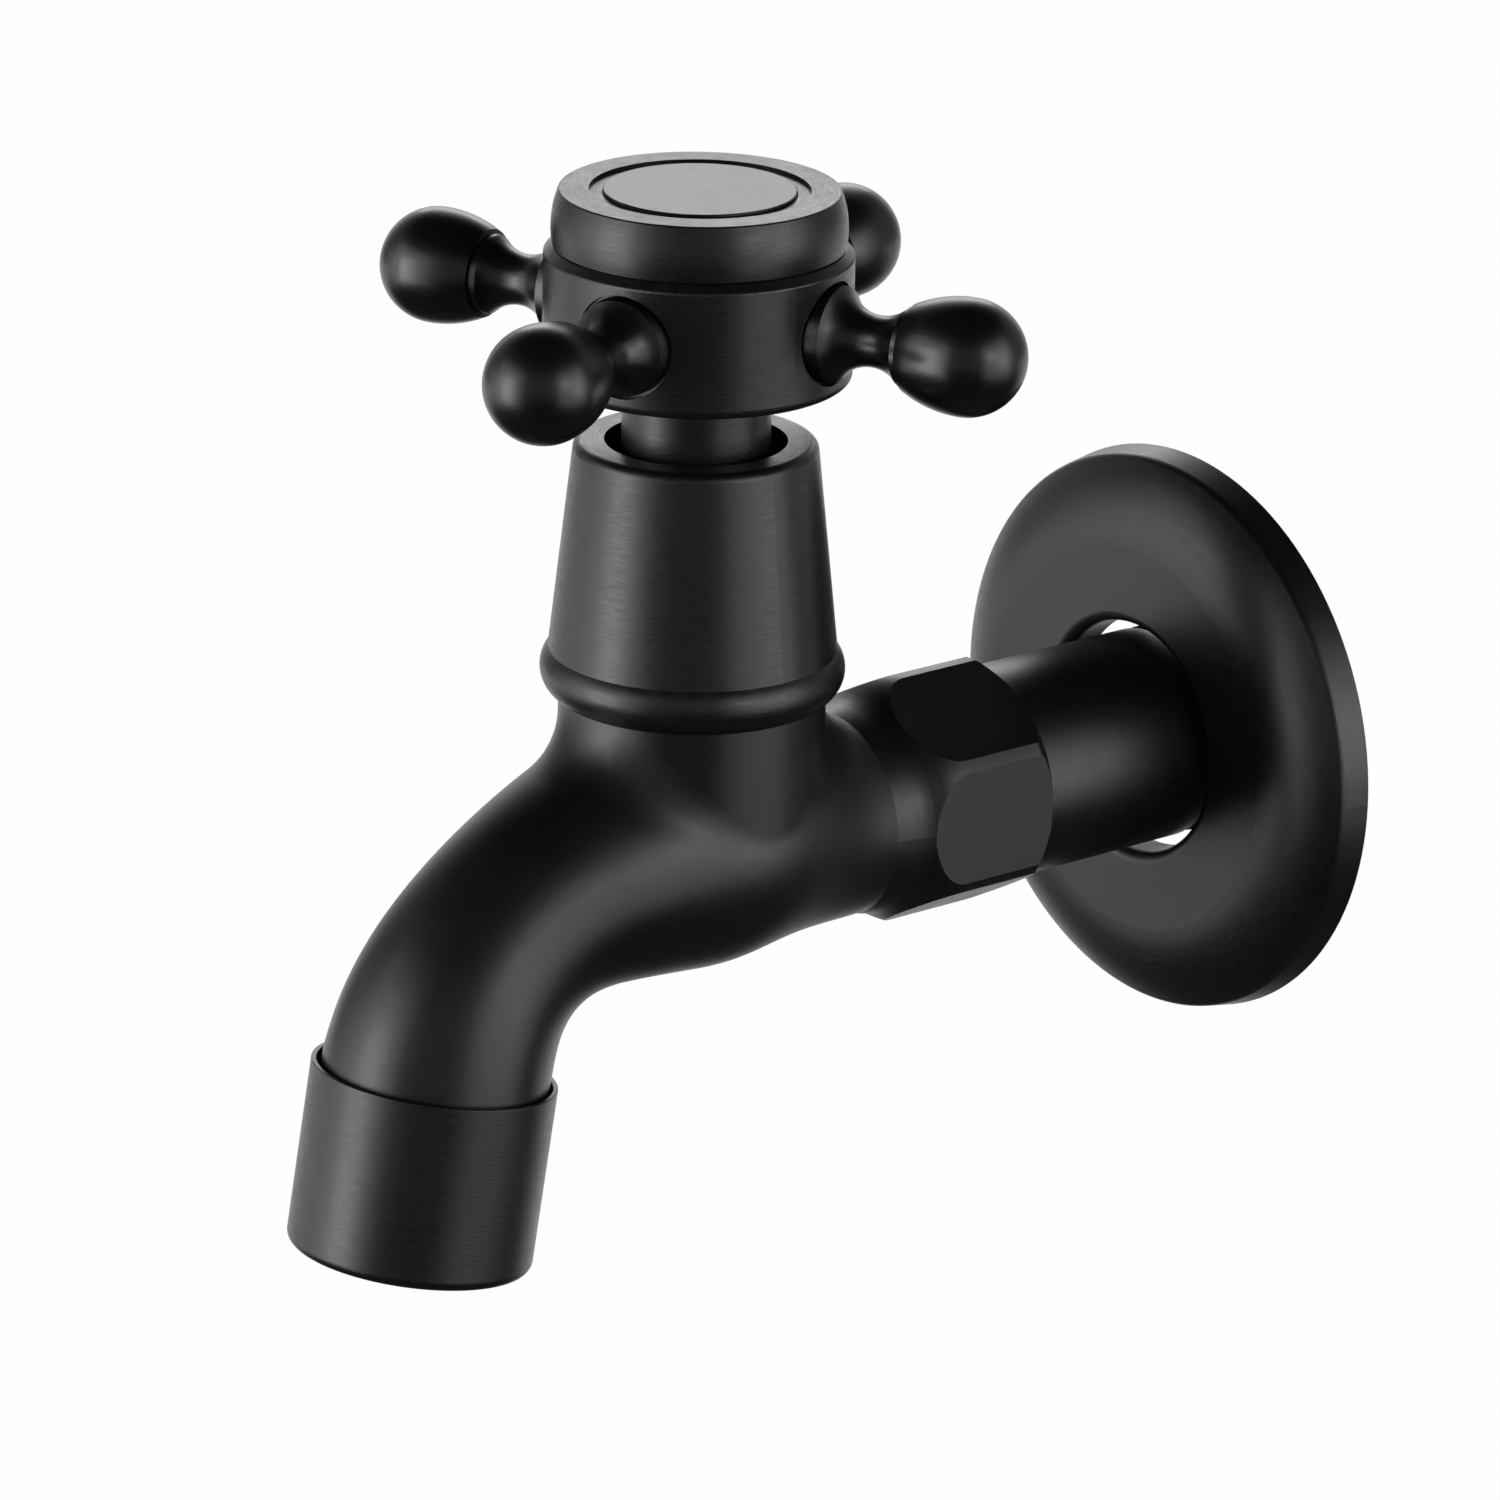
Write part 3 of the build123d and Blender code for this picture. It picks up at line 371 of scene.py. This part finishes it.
def face_outward():
    """Turns all faces of the open mesh outward, and closes the mesh."""
    bpy.ops.mesh.select_all(action="SELECT")
    bpy.ops.mesh.normals_make_consistent(inside=False)
    bpy.ops.object.mode_set(mode="OBJECT")


# Shaping


def shade(item, angle):
    """Shades an object smooth, except at edges that turn by more than an angle."""
    alone(item)
    bpy.ops.object.shade_smooth_by_angle(angle=angle)


def linked(name, mesh):
    """A new object of a mesh, put in the scene."""
    item = bpy.data.objects.new(name, mesh)
    bpy.context.scene.collection.objects.link(item)
    return item


def copy_of(node, name):
    """A piece with the same faces as a CAD node, merged so that tools can cut it."""
    piece = linked(name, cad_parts[node].data.copy())
    alone(piece)
    bpy.ops.mesh.customdata_custom_splitnormals_clear()
    bpy.ops.object.mode_set(mode="EDIT")
    bpy.ops.mesh.select_all(action="SELECT")
    bpy.ops.mesh.remove_doubles(threshold=MERGE)
    face_outward()
    return piece


def combine(piece, tool, operation):
    """Cuts, joins or keeps what two closed meshes share, and drops the tool."""
    alone(piece)
    step = piece.modifiers.new("combine", "BOOLEAN")
    step.operation = operation
    step.solver = "EXACT"
    step.object = tool
    bpy.ops.object.modifier_apply(modifier=step.name)
    if not piece.data.polygons:
        raise RuntimeError("nothing is left of " + piece.name)
    bpy.data.objects.remove(tool)


def join(pieces):
    """Joins objects into the first of them."""
    bpy.ops.object.select_all(action="DESELECT")
    for piece in pieces:
        piece.select_set(True)
    bpy.context.view_layer.objects.active = pieces[0]
    bpy.ops.object.join()


class TAP_OT_pipe_thread(Operator):
    """Cuts the pipe thread on the wall end of the inlet"""

    bl_idname = "garden_tap.pipe_thread"
    bl_label = "Pipe thread"

    def execute(self, context):
        size = context.scene.tap_thread
        shank = copy_of("inlet_shank", "threaded_shank")
        combine(shank, self.groove(size), "DIFFERENCE")
        shade(shank, SMOOTH_SHANK)
        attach(shank, "tap")
        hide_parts("inlet_shank")
        return {"FINISHED"}

    def groove(self, size):
        """The space between the thread's ridges, as one long turn."""
        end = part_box("inlet_shank")[1]
        root = end.x - size.depth
        outer = end.x + THREAD_PAST
        root_half = THREAD_ROOT_FLAT / 2
        outer_half = root_half + (outer - root) * math.tan(THREAD_FLANK)
        first = end.y + size.pitch
        turns = (first - THREAD_END) / size.pitch
        tool = self.outline(first, root, outer, root_half, outer_half)
        screw = tool.modifiers.new("turns", "SCREW")
        screw.axis = "Y"
        screw.angle = math.tau * turns
        screw.screw_offset = -size.pitch * turns
        screw.steps = round(THREAD_STEPS * turns)
        screw.render_steps = screw.steps
        bpy.ops.object.modifier_apply(modifier=screw.name)
        bpy.ops.object.mode_set(mode="EDIT")
        bpy.ops.mesh.select_all(action="SELECT")
        bpy.ops.mesh.remove_doubles(threshold=MERGE)
        bpy.ops.mesh.fill_holes(sides=0)
        face_outward()
        return tool

    def outline(self, first, root, outer, root_half, outer_half):
        """The groove's section: narrow at the root, wide past the crest."""
        between = (root + outer) / 2
        bpy.ops.object.select_all(action="DESELECT")
        bpy.ops.mesh.primitive_plane_add(
            size=1, location=(0, first, between), rotation=(0, QUARTER, 0)
        )
        tool = context_object("thread_tool")
        bpy.ops.object.mode_set(mode="EDIT")
        bpy.ops.mesh.select_all(action="SELECT")
        bpy.ops.transform.resize(value=(1, 2 * outer_half, outer - root))
        bpy.ops.object.mode_set(mode="OBJECT")
        settle(tool)
        pick_corners(tool, lambda place: place.z < between)
        bpy.ops.transform.resize(
            value=(1, root_half / outer_half, 1), center_override=(0, first, root)
        )
        bpy.ops.object.mode_set(mode="OBJECT")
        return tool


class TAP_OT_outlet_mesh(Operator):
    """Weaves the wire mesh in its rim at the outlet"""

    bl_idname = "garden_tap.outlet_mesh"
    bl_label = "Outlet mesh"

    def execute(self, context):
        size = context.scene.tap_mesh
        low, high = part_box("aerator_screen")
        radius = (high.x - low.x) / 2
        net = self.net(size, radius)
        rim = self.rim(radius)
        join([rim, net])
        rim.name = "woven_outlet_mesh"
        rim.rotation_euler = (NOZZLE_TILT, 0, 0)
        rim.location = (low + high) / 2
        settle(rim)
        shade(rim, SMOOTH_MESH)
        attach(rim, "tap")
        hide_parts("aerator_screen")
        return {"FINISHED"}

    def wire(self, size, count):
        """One crimped wire along X, over and under the wires that cross it."""
        rise = size.wire / 2 + MESH_ROOM
        start = -(count + 0.5) * size.pitch
        flat = size.pitch * MESH_FLAT
        slant = size.pitch - flat
        bpy.ops.object.select_all(action="DESELECT")
        bpy.ops.mesh.primitive_circle_add(
            vertices=MESH_WIRE_SIDES,
            radius=size.wire / 2,
            fill_type="NGON",
            location=(start - flat / 2, 0, -rise),
            rotation=(0, QUARTER, 0),
        )
        wire = context_object("mesh_wire")
        settle(wire)
        bpy.ops.object.mode_set(mode="EDIT")
        bpy.ops.mesh.select_all(action="SELECT")
        side = 1
        for crossing in range(2 * count + 2):
            for step in ((flat, 0, 0), (slant, 0, side * 2 * rise)):
                bpy.ops.mesh.extrude_region_move(TRANSFORM_OT_translate={"value": step})
            side = -side
        face_outward()
        return wire

    def net(self, size, radius):
        """Two crossing rows of the same wire, cut round."""
        count = int(radius / size.pitch) + 1
        count += count % 2
        wire = self.wire(size, count)
        rows = []
        for row in range(-count, count + 1):
            for turned in (False, True):
                copy = linked("mesh_row", wire.data.copy())
                shift = size.pitch / 2 if (row + turned) % 2 else -size.pitch / 2
                copy.location = (shift, row * size.pitch, 0)
                if turned:
                    copy.rotation_euler = (0, 0, QUARTER)
                    copy.location = (-row * size.pitch, shift, 0)
                rows.append(copy)
        bpy.data.objects.remove(wire)
        join(rows)
        net = context_object("mesh_net")
        settle(net)
        bpy.ops.object.select_all(action="DESELECT")
        bpy.ops.mesh.primitive_cylinder_add(
            vertices=MESH_CUTTER_SIDES, radius=radius - MESH_RIM / 2, depth=radius
        )
        combine(net, context_object("mesh_cutter"), "INTERSECT")
        return net

    def rim(self, radius):
        """The flat ring that holds the ends of the wires."""
        bpy.ops.object.select_all(action="DESELECT")
        bpy.ops.mesh.primitive_cylinder_add(
            vertices=MESH_RIM_SIDES, radius=radius, depth=MESH_THICKNESS
        )
        rim = context_object("mesh_rim")
        pick_faces(rim, lambda face: abs(face.normal.z) > MESH_END_NORMAL)
        bpy.ops.mesh.inset(thickness=MESH_RIM)
        bpy.ops.mesh.bridge_edge_loops()
        face_outward()
        return rim


class TAP_OT_spokes(Operator):
    """Turns the four spokes with a slim foot in the seat and a crisp edge between neck and ball"""

    bl_idname = "garden_tap.spokes"
    bl_label = "Spokes"

    def execute(self, context):
        size = context.scene.tap_spokes
        first = copy_of(SPOKES[0], "turned_" + SPOKES[0])
        self.move_ring(first, 0, SPOKE_LAND_R, 0, size.foot_share)
        self.move_ring(first, SPOKE_LAND, SPOKE_LAND_R, size.land - SPOKE_LAND, size.foot_share)
        self.move_ring(first, SPOKE_NECK_END, SPOKE_NECK_END_R, size.crease, size.neck_share)
        shade(first, SMOOTH_SPOKE)
        axis = valve_axis()
        for count, node in enumerate(SPOKES):
            piece = first
            if count:
                piece = linked("turned_" + node, first.data.copy())
                turn = QUARTER * count
                piece.rotation_euler = (0, 0, turn)
                piece.location = axis - Matrix.Rotation(turn, 3, "Z") @ axis
                settle(piece)
            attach(piece, "handle")
            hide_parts(node)
        return {"FINISHED"}

    def way(self):
        """The way that the first spoke points."""
        return Vector((math.cos(SPOKE_ANGLE), math.sin(SPOKE_ANGLE), 0))

    def move_ring(self, piece, height, radius, rise, share):
        """Moves the ring of corners at a height over the seat along the spoke, and scales it."""
        centre = valve_axis() + self.way() * (SPOKE_SEAT + height)
        centre.z = middle(SPOKES[0]).z

        def on_ring(place):
            run = (place - centre).dot(self.way())
            return abs(run) < RING_ROOM and abs((place - centre).length - radius) < RING_ROOM

        pick_corners(piece, on_ring)
        if not piece.data.total_vert_sel:
            raise RuntimeError("no ring at " + str(height))
        bpy.ops.transform.resize(value=(share, share, share), center_override=centre)
        bpy.ops.transform.translate(value=self.way() * rise)
        bpy.ops.object.mode_set(mode="OBJECT")


# Materials


class Recipe:
    """The node tree of a material, group or world while it is put together."""

    def __init__(self, tree):
        self.tree = tree

    def add(self, kind, x=0, y=0, **values):
        """A new node at a place in the editor, with its settings."""
        node = self.tree.nodes.new(kind)
        node.location = (x, y)
        for name, value in values.items():
            setattr(node, name, value)
        return node

    def join(self, source, target):
        """Links an output to an input."""
        self.tree.links.new(source, target)

    def maths(self, operation, first, second=None, x=0, y=0):
        """The output of a sum of two sockets or numbers."""
        node = self.add("ShaderNodeMath", x, y, operation=operation)
        for socket, value in zip(node.inputs, (first, second)):
            if isinstance(value, (int, float)):
                socket.default_value = value
            elif value is not None:
                self.join(value, socket)
        return node.outputs[0]

    def noise(self, vector, scale, detail, x, y):
        """The output of a noise whose scale is a number or a socket."""
        node = self.add("ShaderNodeTexNoise", x, y)
        node.inputs["Detail"].default_value = detail
        self.join(vector, node.inputs["Vector"])
        if isinstance(scale, float):
            node.inputs["Scale"].default_value = scale
        else:
            self.join(scale, node.inputs["Scale"])
        return node.outputs["Fac"]

    def ramp(self, value, source, target, x, y, smooth=False):
        """The output of a map from one range to another."""
        node = self.add("ShaderNodeMapRange", x, y)
        if smooth:
            node.interpolation_type = "SMOOTHSTEP"
        node.inputs["From Min"].default_value, node.inputs["From Max"].default_value = source
        node.inputs["To Min"].default_value, node.inputs["To Max"].default_value = target
        self.join(value, node.inputs["Value"])
        return node.outputs[0]

    def blend(self, factor, first, second, output):
        """Mixes two shaders into a socket."""
        mix = self.add("ShaderNodeMixShader", 300, 0)
        self.join(factor, mix.inputs[0])
        self.join(first.outputs[0], mix.inputs[1])
        self.join(second.outputs[0], mix.inputs[2])
        self.join(mix.outputs[0], output.inputs["Surface"])


def empty_recipe(owner):
    """The cleared node tree of a material or world."""
    owner.use_nodes = True
    owner.node_tree.nodes.clear()
    return Recipe(owner.node_tree)


def new_pattern(name, fineness):
    """A group with a vector and a fineness in, and a height and patches out."""
    tree = bpy.data.node_groups.new(name, "ShaderNodeTree")
    side = tree.interface
    side.new_socket("Vector", in_out="INPUT", socket_type="NodeSocketVector")
    given = side.new_socket("Fineness", in_out="INPUT", socket_type="NodeSocketFloat")
    given.default_value = fineness
    side.new_socket("Height", in_out="OUTPUT", socket_type="NodeSocketFloat")
    side.new_socket("Patches", in_out="OUTPUT", socket_type="NodeSocketFloat")
    recipe = Recipe(tree)
    start = recipe.add("NodeGroupInput", -900, 0)
    end = recipe.add("NodeGroupOutput", 900, 0)
    return recipe, start.outputs, end.inputs


def turning_marks_group():
    """Fine marks round an axis, for pieces turned on a lathe. The axis is the vector's Z."""
    recipe, given, result = new_pattern("turning_marks", STREAK_FINENESS)
    parts = recipe.add("ShaderNodeSeparateXYZ", -700, 0)
    recipe.join(given["Vector"], parts.inputs[0])
    x, y, z = parts.outputs
    squares = recipe.maths(
        "ADD",
        recipe.maths("MULTIPLY", x, x, -560, 160),
        recipe.maths("MULTIPLY", y, y, -560, 0),
        -420,
        80,
    )
    across = recipe.maths("SQRT", squares, None, -280, 80)
    level = recipe.maths("ADD", across, z, -140, 0)
    run = recipe.add("ShaderNodeCombineXYZ", 140, 0)
    recipe.join(recipe.maths("MULTIPLY", x, STREAK_RUN, 0, 160), run.inputs[0])
    recipe.join(recipe.maths("MULTIPLY", y, STREAK_RUN, 0, 300), run.inputs[1])
    recipe.join(recipe.maths("MULTIPLY", level, given["Fineness"], 0, 0), run.inputs[2])
    streaks = recipe.noise(run.outputs[0], 1.0, STREAK_DETAIL, 320, 0)
    recipe.join(streaks, result["Height"])
    patches = recipe.noise(given["Vector"], STREAK_PATCH_SCALE, PATCH_DETAIL, 320, -260)
    both = recipe.add("ShaderNodeMix", 560, -120, data_type="FLOAT")
    both.inputs[0].default_value = STREAK_SHARE
    recipe.join(patches, both.inputs[2])
    recipe.join(streaks, both.inputs[3])
    recipe.join(both.outputs[0], result["Patches"])
    return recipe.tree


def cast_skin_group():
    """The faint, even pebble of a coat of powder over a cast and blasted surface."""
    recipe, given, result = new_pattern("cast_skin", SKIN_FINENESS)
    pebble = recipe.noise(given["Vector"], given["Fineness"], PATCH_DETAIL, -300, 100)
    recipe.join(pebble, result["Height"])
    patches = recipe.noise(given["Vector"], SKIN_PATCH_SCALE, PATCH_DETAIL, -300, -160)
    recipe.join(patches, result["Patches"])
    return recipe.tree


def surface(
    name, group, base, rough, spread, depth, metallic=0.0, centre=(0, 0, 0), turn=(0, 0, 0)
):
    """A material whose colour, gloss and height follow one of the shared groups."""
    material = bpy.data.materials.new(name)
    recipe = empty_recipe(material)
    output = recipe.add("ShaderNodeOutputMaterial", 900, 0)
    shader = recipe.add("ShaderNodeBsdfPrincipled", 600, 0)
    shader.inputs["Metallic"].default_value = metallic
    recipe.join(shader.outputs[0], output.inputs["Surface"])
    place = recipe.add("ShaderNodeTexCoord", -900, 0)
    mapping = recipe.add("ShaderNodeMapping", -720, 0, vector_type="TEXTURE")
    mapping.inputs["Location"].default_value = centre
    mapping.inputs["Rotation"].default_value = turn
    recipe.join(place.outputs["Object"], mapping.inputs["Vector"])
    pattern = recipe.add("ShaderNodeGroup", -500, 0, node_tree=group)
    recipe.join(mapping.outputs[0], pattern.inputs["Vector"])
    patches = pattern.outputs["Patches"]
    tone = recipe.add("ShaderNodeMix", 120, 200, data_type="RGBA")
    tone.inputs[6].default_value = (*[channel * (1 - TONE_SPREAD) for channel in base], 1)
    tone.inputs[7].default_value = (*[min(1, channel * (1 + TONE_SPREAD)) for channel in base], 1)
    recipe.join(patches, tone.inputs[0])
    recipe.join(tone.outputs[2], shader.inputs["Base Color"])
    gloss = recipe.ramp(patches, GLOSS_RANGE, (rough - spread, rough + spread), 120, -60)
    recipe.join(gloss, shader.inputs["Roughness"])
    bump = recipe.add("ShaderNodeBump", 300, -260)
    bump.inputs["Strength"].default_value = 1.0
    bump.inputs["Distance"].default_value = depth
    recipe.join(pattern.outputs["Height"], bump.inputs["Height"])
    recipe.join(bump.outputs[0], shader.inputs["Normal"])
    return material


def dress(material, *names):
    """Gives a material to CAD nodes and to new pieces, by name."""
    for name in names:
        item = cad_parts.get(name) or bpy.data.objects[name]
        item.data.materials.clear()
        item.data.materials.append(material)


class TAP_OT_finishes(Operator):
    """Gives every piece of the tap its finish"""

    bl_idname = "garden_tap.finishes"
    bl_label = "Finishes"

    def execute(self, context):
        self.marks = turning_marks_group()
        self.skin = cast_skin_group()
        self.dress_coated(context.scene.tap_coating)
        self.dress_hidden(context.scene.tap_metals, context.scene.tap_coating.grain)
        return {"FINISHED"}

    def dress_coated(self, coating):
        """The black pieces. Those turned on a lathe have marks round their own axis."""
        marks, skin, axis = self.marks, self.skin, valve_axis()
        black, rough, grain = coating.colour, coating.roughness, coating.grain
        along_y = (QUARTER, 0, 0)
        nozzle = middle("nozzle_sleeve")
        tilt = (NOZZLE_TILT, 0, 0)

        upright = surface(
            "coating_round_valve", marks, black, rough, spread=0.07, depth=grain, centre=axis
        )
        across = surface(
            "coating_round_shank", marks, black, rough, spread=0.05, depth=grain / 2, turn=along_y
        )
        outlet = surface(
            "coating_round_nozzle",
            marks,
            black,
            rough,
            spread=0.06,
            depth=grain,
            centre=nozzle,
            turn=tilt,
        )
        cast = surface("coating_cast", skin, black, rough, spread=0.04, depth=grain / 2)
        ends = surface(
            "coating_spokes", skin, black, coating.spoke_roughness, spread=0.03, depth=grain / 2
        )
        plate = surface(
            "index_plate", marks, PLATE_COLOUR, rough=0.35, spread=0.02, depth=grain, centre=axis
        )

        dress(upright, "bonnet_cover", "handle_hub", "handle_cap")
        dress(across, "wall_flange", "inlet_shank", "threaded_shank")
        dress(outlet, "nozzle_sleeve")
        dress(cast, "tap_body")
        dress(ends, *SPOKES, *("turned_" + node for node in SPOKES))
        dress(plate, "index_disc")

    def dress_hidden(self, metals, grain):
        """The pieces inside, and the outlet's insert."""
        marks, skin, axis = self.marks, self.skin, valve_axis()
        bare = {"spread": 0.05, "depth": grain, "metallic": 1.0, "centre": axis}
        brass = surface("bare_brass", marks, metals.brass, rough=0.28, **bare)
        steel = surface("stainless_steel", marks, metals.steel, rough=0.3, **bare)
        rubber = surface("rubber", skin, RUBBER_COLOUR, rough=0.6, spread=0.05, depth=grain)
        ceramic = surface("ceramic", skin, CERAMIC_COLOUR, rough=0.25, spread=0.04, depth=grain / 4)
        plastic = surface("plastic", skin, PLASTIC_COLOUR, rough=0.42, spread=0.04, depth=grain)

        dress(brass, "cartridge_body", "spindle")
        dress(steel, "handle_screw", "lock_washer", "spindle_circlip")
        dress(steel, "aerator_screen", "woven_outlet_mesh")
        dress(rubber, "shank_o_ring", "spindle_o_rings", "seat_seal", "nozzle_washer")
        dress(rubber, "cartridge_gasket")
        dress(ceramic, "fixed_disc", "turning_disc")
        dress(plastic, "slip_washer", "aerator_housing", "aerator_flow_plate")


class TAP_OT_studio(Operator):
    """Sets the floor, the lamps, the plain surround and the camera"""

    bl_idname = "garden_tap.studio"
    bl_label = "Studio"

    def execute(self, context):
        studio = context.scene.tap_studio
        self.make_floor(studio)
        self.make_surround(context.scene, studio)
        self.make_lamps()
        self.make_camera(context.scene)
        context.scene.view_settings.view_transform = "Standard"
        return {"FINISHED"}

    def make_floor(self, studio):
        """A wide floor, white to the lens and dark enough not to light the tap from below."""
        bpy.ops.object.select_all(action="DESELECT")
        bpy.ops.mesh.primitive_circle_add(
            vertices=FLOOR_SIDES,
            radius=FLOOR_RADIUS,
            fill_type="NGON",
            location=(0, FLOOR_MIDDLE_Y, -studio.floor_drop),
        )
        floor = context_object("floor")
        material = bpy.data.materials.new("pale_floor")
        recipe = empty_recipe(material)
        output = recipe.add("ShaderNodeOutputMaterial", 600, 0)
        lit = recipe.add("ShaderNodeBsdfPrincipled", 0, 100)
        lit.inputs["Base Color"].default_value = FLOOR_COLOUR
        lit.inputs["Roughness"].default_value = FLOOR_ROUGHNESS
        white = recipe.add("ShaderNodeEmission", 0, -200)
        white.inputs["Color"].default_value = WHITE
        place = recipe.add("ShaderNodeNewGeometry", -1300, -200)
        seen = self.white_seen(recipe, place.outputs["Position"], FLOOR_SWEEP)
        recipe.blend(recipe.maths("MULTIPLY", seen, FLOOR_WHITE, 120, 200), lit, white, output)
        floor.data.materials.append(material)

    def white_seen(self, recipe, vector, sweep):
        """How white the background is: white to the lens, and to metal and glass behind the tap."""
        path = recipe.add("ShaderNodeLightPath", -900, 0)
        lens_side = recipe.add("ShaderNodeVectorMath", -1100, -200, operation="DOT_PRODUCT")
        recipe.join(vector, lens_side.inputs[0])
        lens_side.inputs[1].default_value = BEHIND
        behind = recipe.ramp(lens_side.outputs["Value"], sweep, (0, 1), -900, -300, smooth=True)
        glossy, through = path.outputs["Is Glossy Ray"], path.outputs["Is Transmission Ray"]
        mirrored = recipe.maths("MAXIMUM", glossy, through, -700, -100)
        masked = recipe.maths("MULTIPLY", mirrored, behind, -500, -200)
        return recipe.maths("MAXIMUM", path.outputs["Is Camera Ray"], masked, -300, 0)

    def make_surround(self, scene, studio):
        """A band of plain light round the horizon, and white behind the tap."""
        world = bpy.data.worlds.new("surround")
        scene.world = world
        recipe = empty_recipe(world)
        output = recipe.add("ShaderNodeOutputWorld", 600, 0)
        way = recipe.add("ShaderNodeTexCoord", -1500, 0)
        parts = recipe.add("ShaderNodeSeparateXYZ", -1300, 300)
        recipe.join(way.outputs["Generated"], parts.inputs[0])
        offset = recipe.maths("SUBTRACT", parts.outputs[2], BAND_MIDDLE, -1100, 300)
        away = recipe.maths("ABSOLUTE", offset, None, -950, 300)
        band = recipe.ramp(away, BAND_EDGE, (studio.surround, BAND_OUTSIDE), -750, 300, smooth=True)
        plain = recipe.add("ShaderNodeBackground", 0, 100)
        plain.inputs["Color"].default_value = SURROUND_COLOUR
        recipe.join(band, plain.inputs["Strength"])
        white = recipe.add("ShaderNodeBackground", 0, -100)
        white.inputs["Color"].default_value = WHITE
        seen = self.white_seen(recipe, way.outputs["Generated"], WORLD_SWEEP)
        recipe.blend(seen, plain, white, output)

    def make_lamps(self):
        """Soft windows to the left, right and back, unseen by the lens."""
        aim = Vector(LAMP_AIM)
        for name, azimuth, elevation, distance, width, height, radiance in LAMPS:
            turn, lift = math.radians(azimuth), math.radians(elevation)
            level = math.cos(lift)
            back = Vector((math.sin(turn) * level, -math.cos(turn) * level, math.sin(lift)))
            lamp = bpy.data.lights.new(name, "AREA")
            lamp.shape = "RECTANGLE"
            lamp.size = width
            lamp.size_y = height
            lamp.energy = radiance * math.pi * width * height
            holder = linked(name, lamp)
            holder.location = aim + back * distance
            holder.rotation_mode = "QUATERNION"
            holder.rotation_quaternion = (-back).to_track_quat("-Z", "Y")
            holder.visible_camera = False

    def make_camera(self, scene):
        """The camera at the photograph's place and angle."""
        lens = bpy.data.cameras.new("photo_camera")
        lens.lens = CAMERA_LENS
        lens.sensor_width = CAMERA_SENSOR
        lens.clip_start, lens.clip_end = CAMERA_CLIP
        camera = linked("photo_camera", lens)
        place = Vector(CAMERA_PLACE)
        aim = (Vector(CAMERA_TARGET) - place).to_track_quat("-Z", "Y")
        roll = Matrix.Rotation(CAMERA_ROLL, 3, "Z").to_quaternion()
        camera.location = place
        camera.rotation_mode = "QUATERNION"
        camera.rotation_quaternion = aim @ roll
        scene.camera = camera


GROUPS = (
    ("tap_coating", TapCoating),
    ("tap_metals", TapMetals),
    ("tap_thread", TapThread),
    ("tap_mesh", TapMesh),
    ("tap_spokes", TapSpokes),
    ("tap_studio", TapStudio),
)
OPERATORS = (TAP_OT_pipe_thread, TAP_OT_outlet_mesh, TAP_OT_spokes, TAP_OT_finishes, TAP_OT_studio)


class TAP_PT_panel(Panel):
    """Lists the tap's sizes, colours and pieces"""

    bl_idname = "TAP_PT_panel"
    bl_label = "Garden Tap"
    bl_space_type = "VIEW_3D"
    bl_region_type = "UI"
    bl_category = "Garden Tap"

    def draw(self, context):
        for name, kind in GROUPS:
            group = getattr(context.scene, name)
            box = self.layout.box()
            for label in kind.__annotations__:
                box.prop(group, label)
        for operator in OPERATORS:
            self.layout.operator(operator.bl_idname)


CLASSES = (*(kind for name, kind in GROUPS), *OPERATORS, TAP_PT_panel)


def register():
    for item in CLASSES:
        bpy.utils.register_class(item)
    for name, kind in GROUPS:
        setattr(bpy.types.Scene, name, PointerProperty(type=kind))


def unregister():
    for name, kind in GROUPS:
        delattr(bpy.types.Scene, name)
    for item in reversed(CLASSES):
        bpy.utils.unregister_class(item)


def main():
    register()
    bpy.ops.garden_tap.pipe_thread()
    bpy.ops.garden_tap.outlet_mesh()
    bpy.ops.garden_tap.spokes()
    bpy.ops.garden_tap.finishes()
    bpy.ops.garden_tap.studio()


if __name__ == "__main__":
    main()
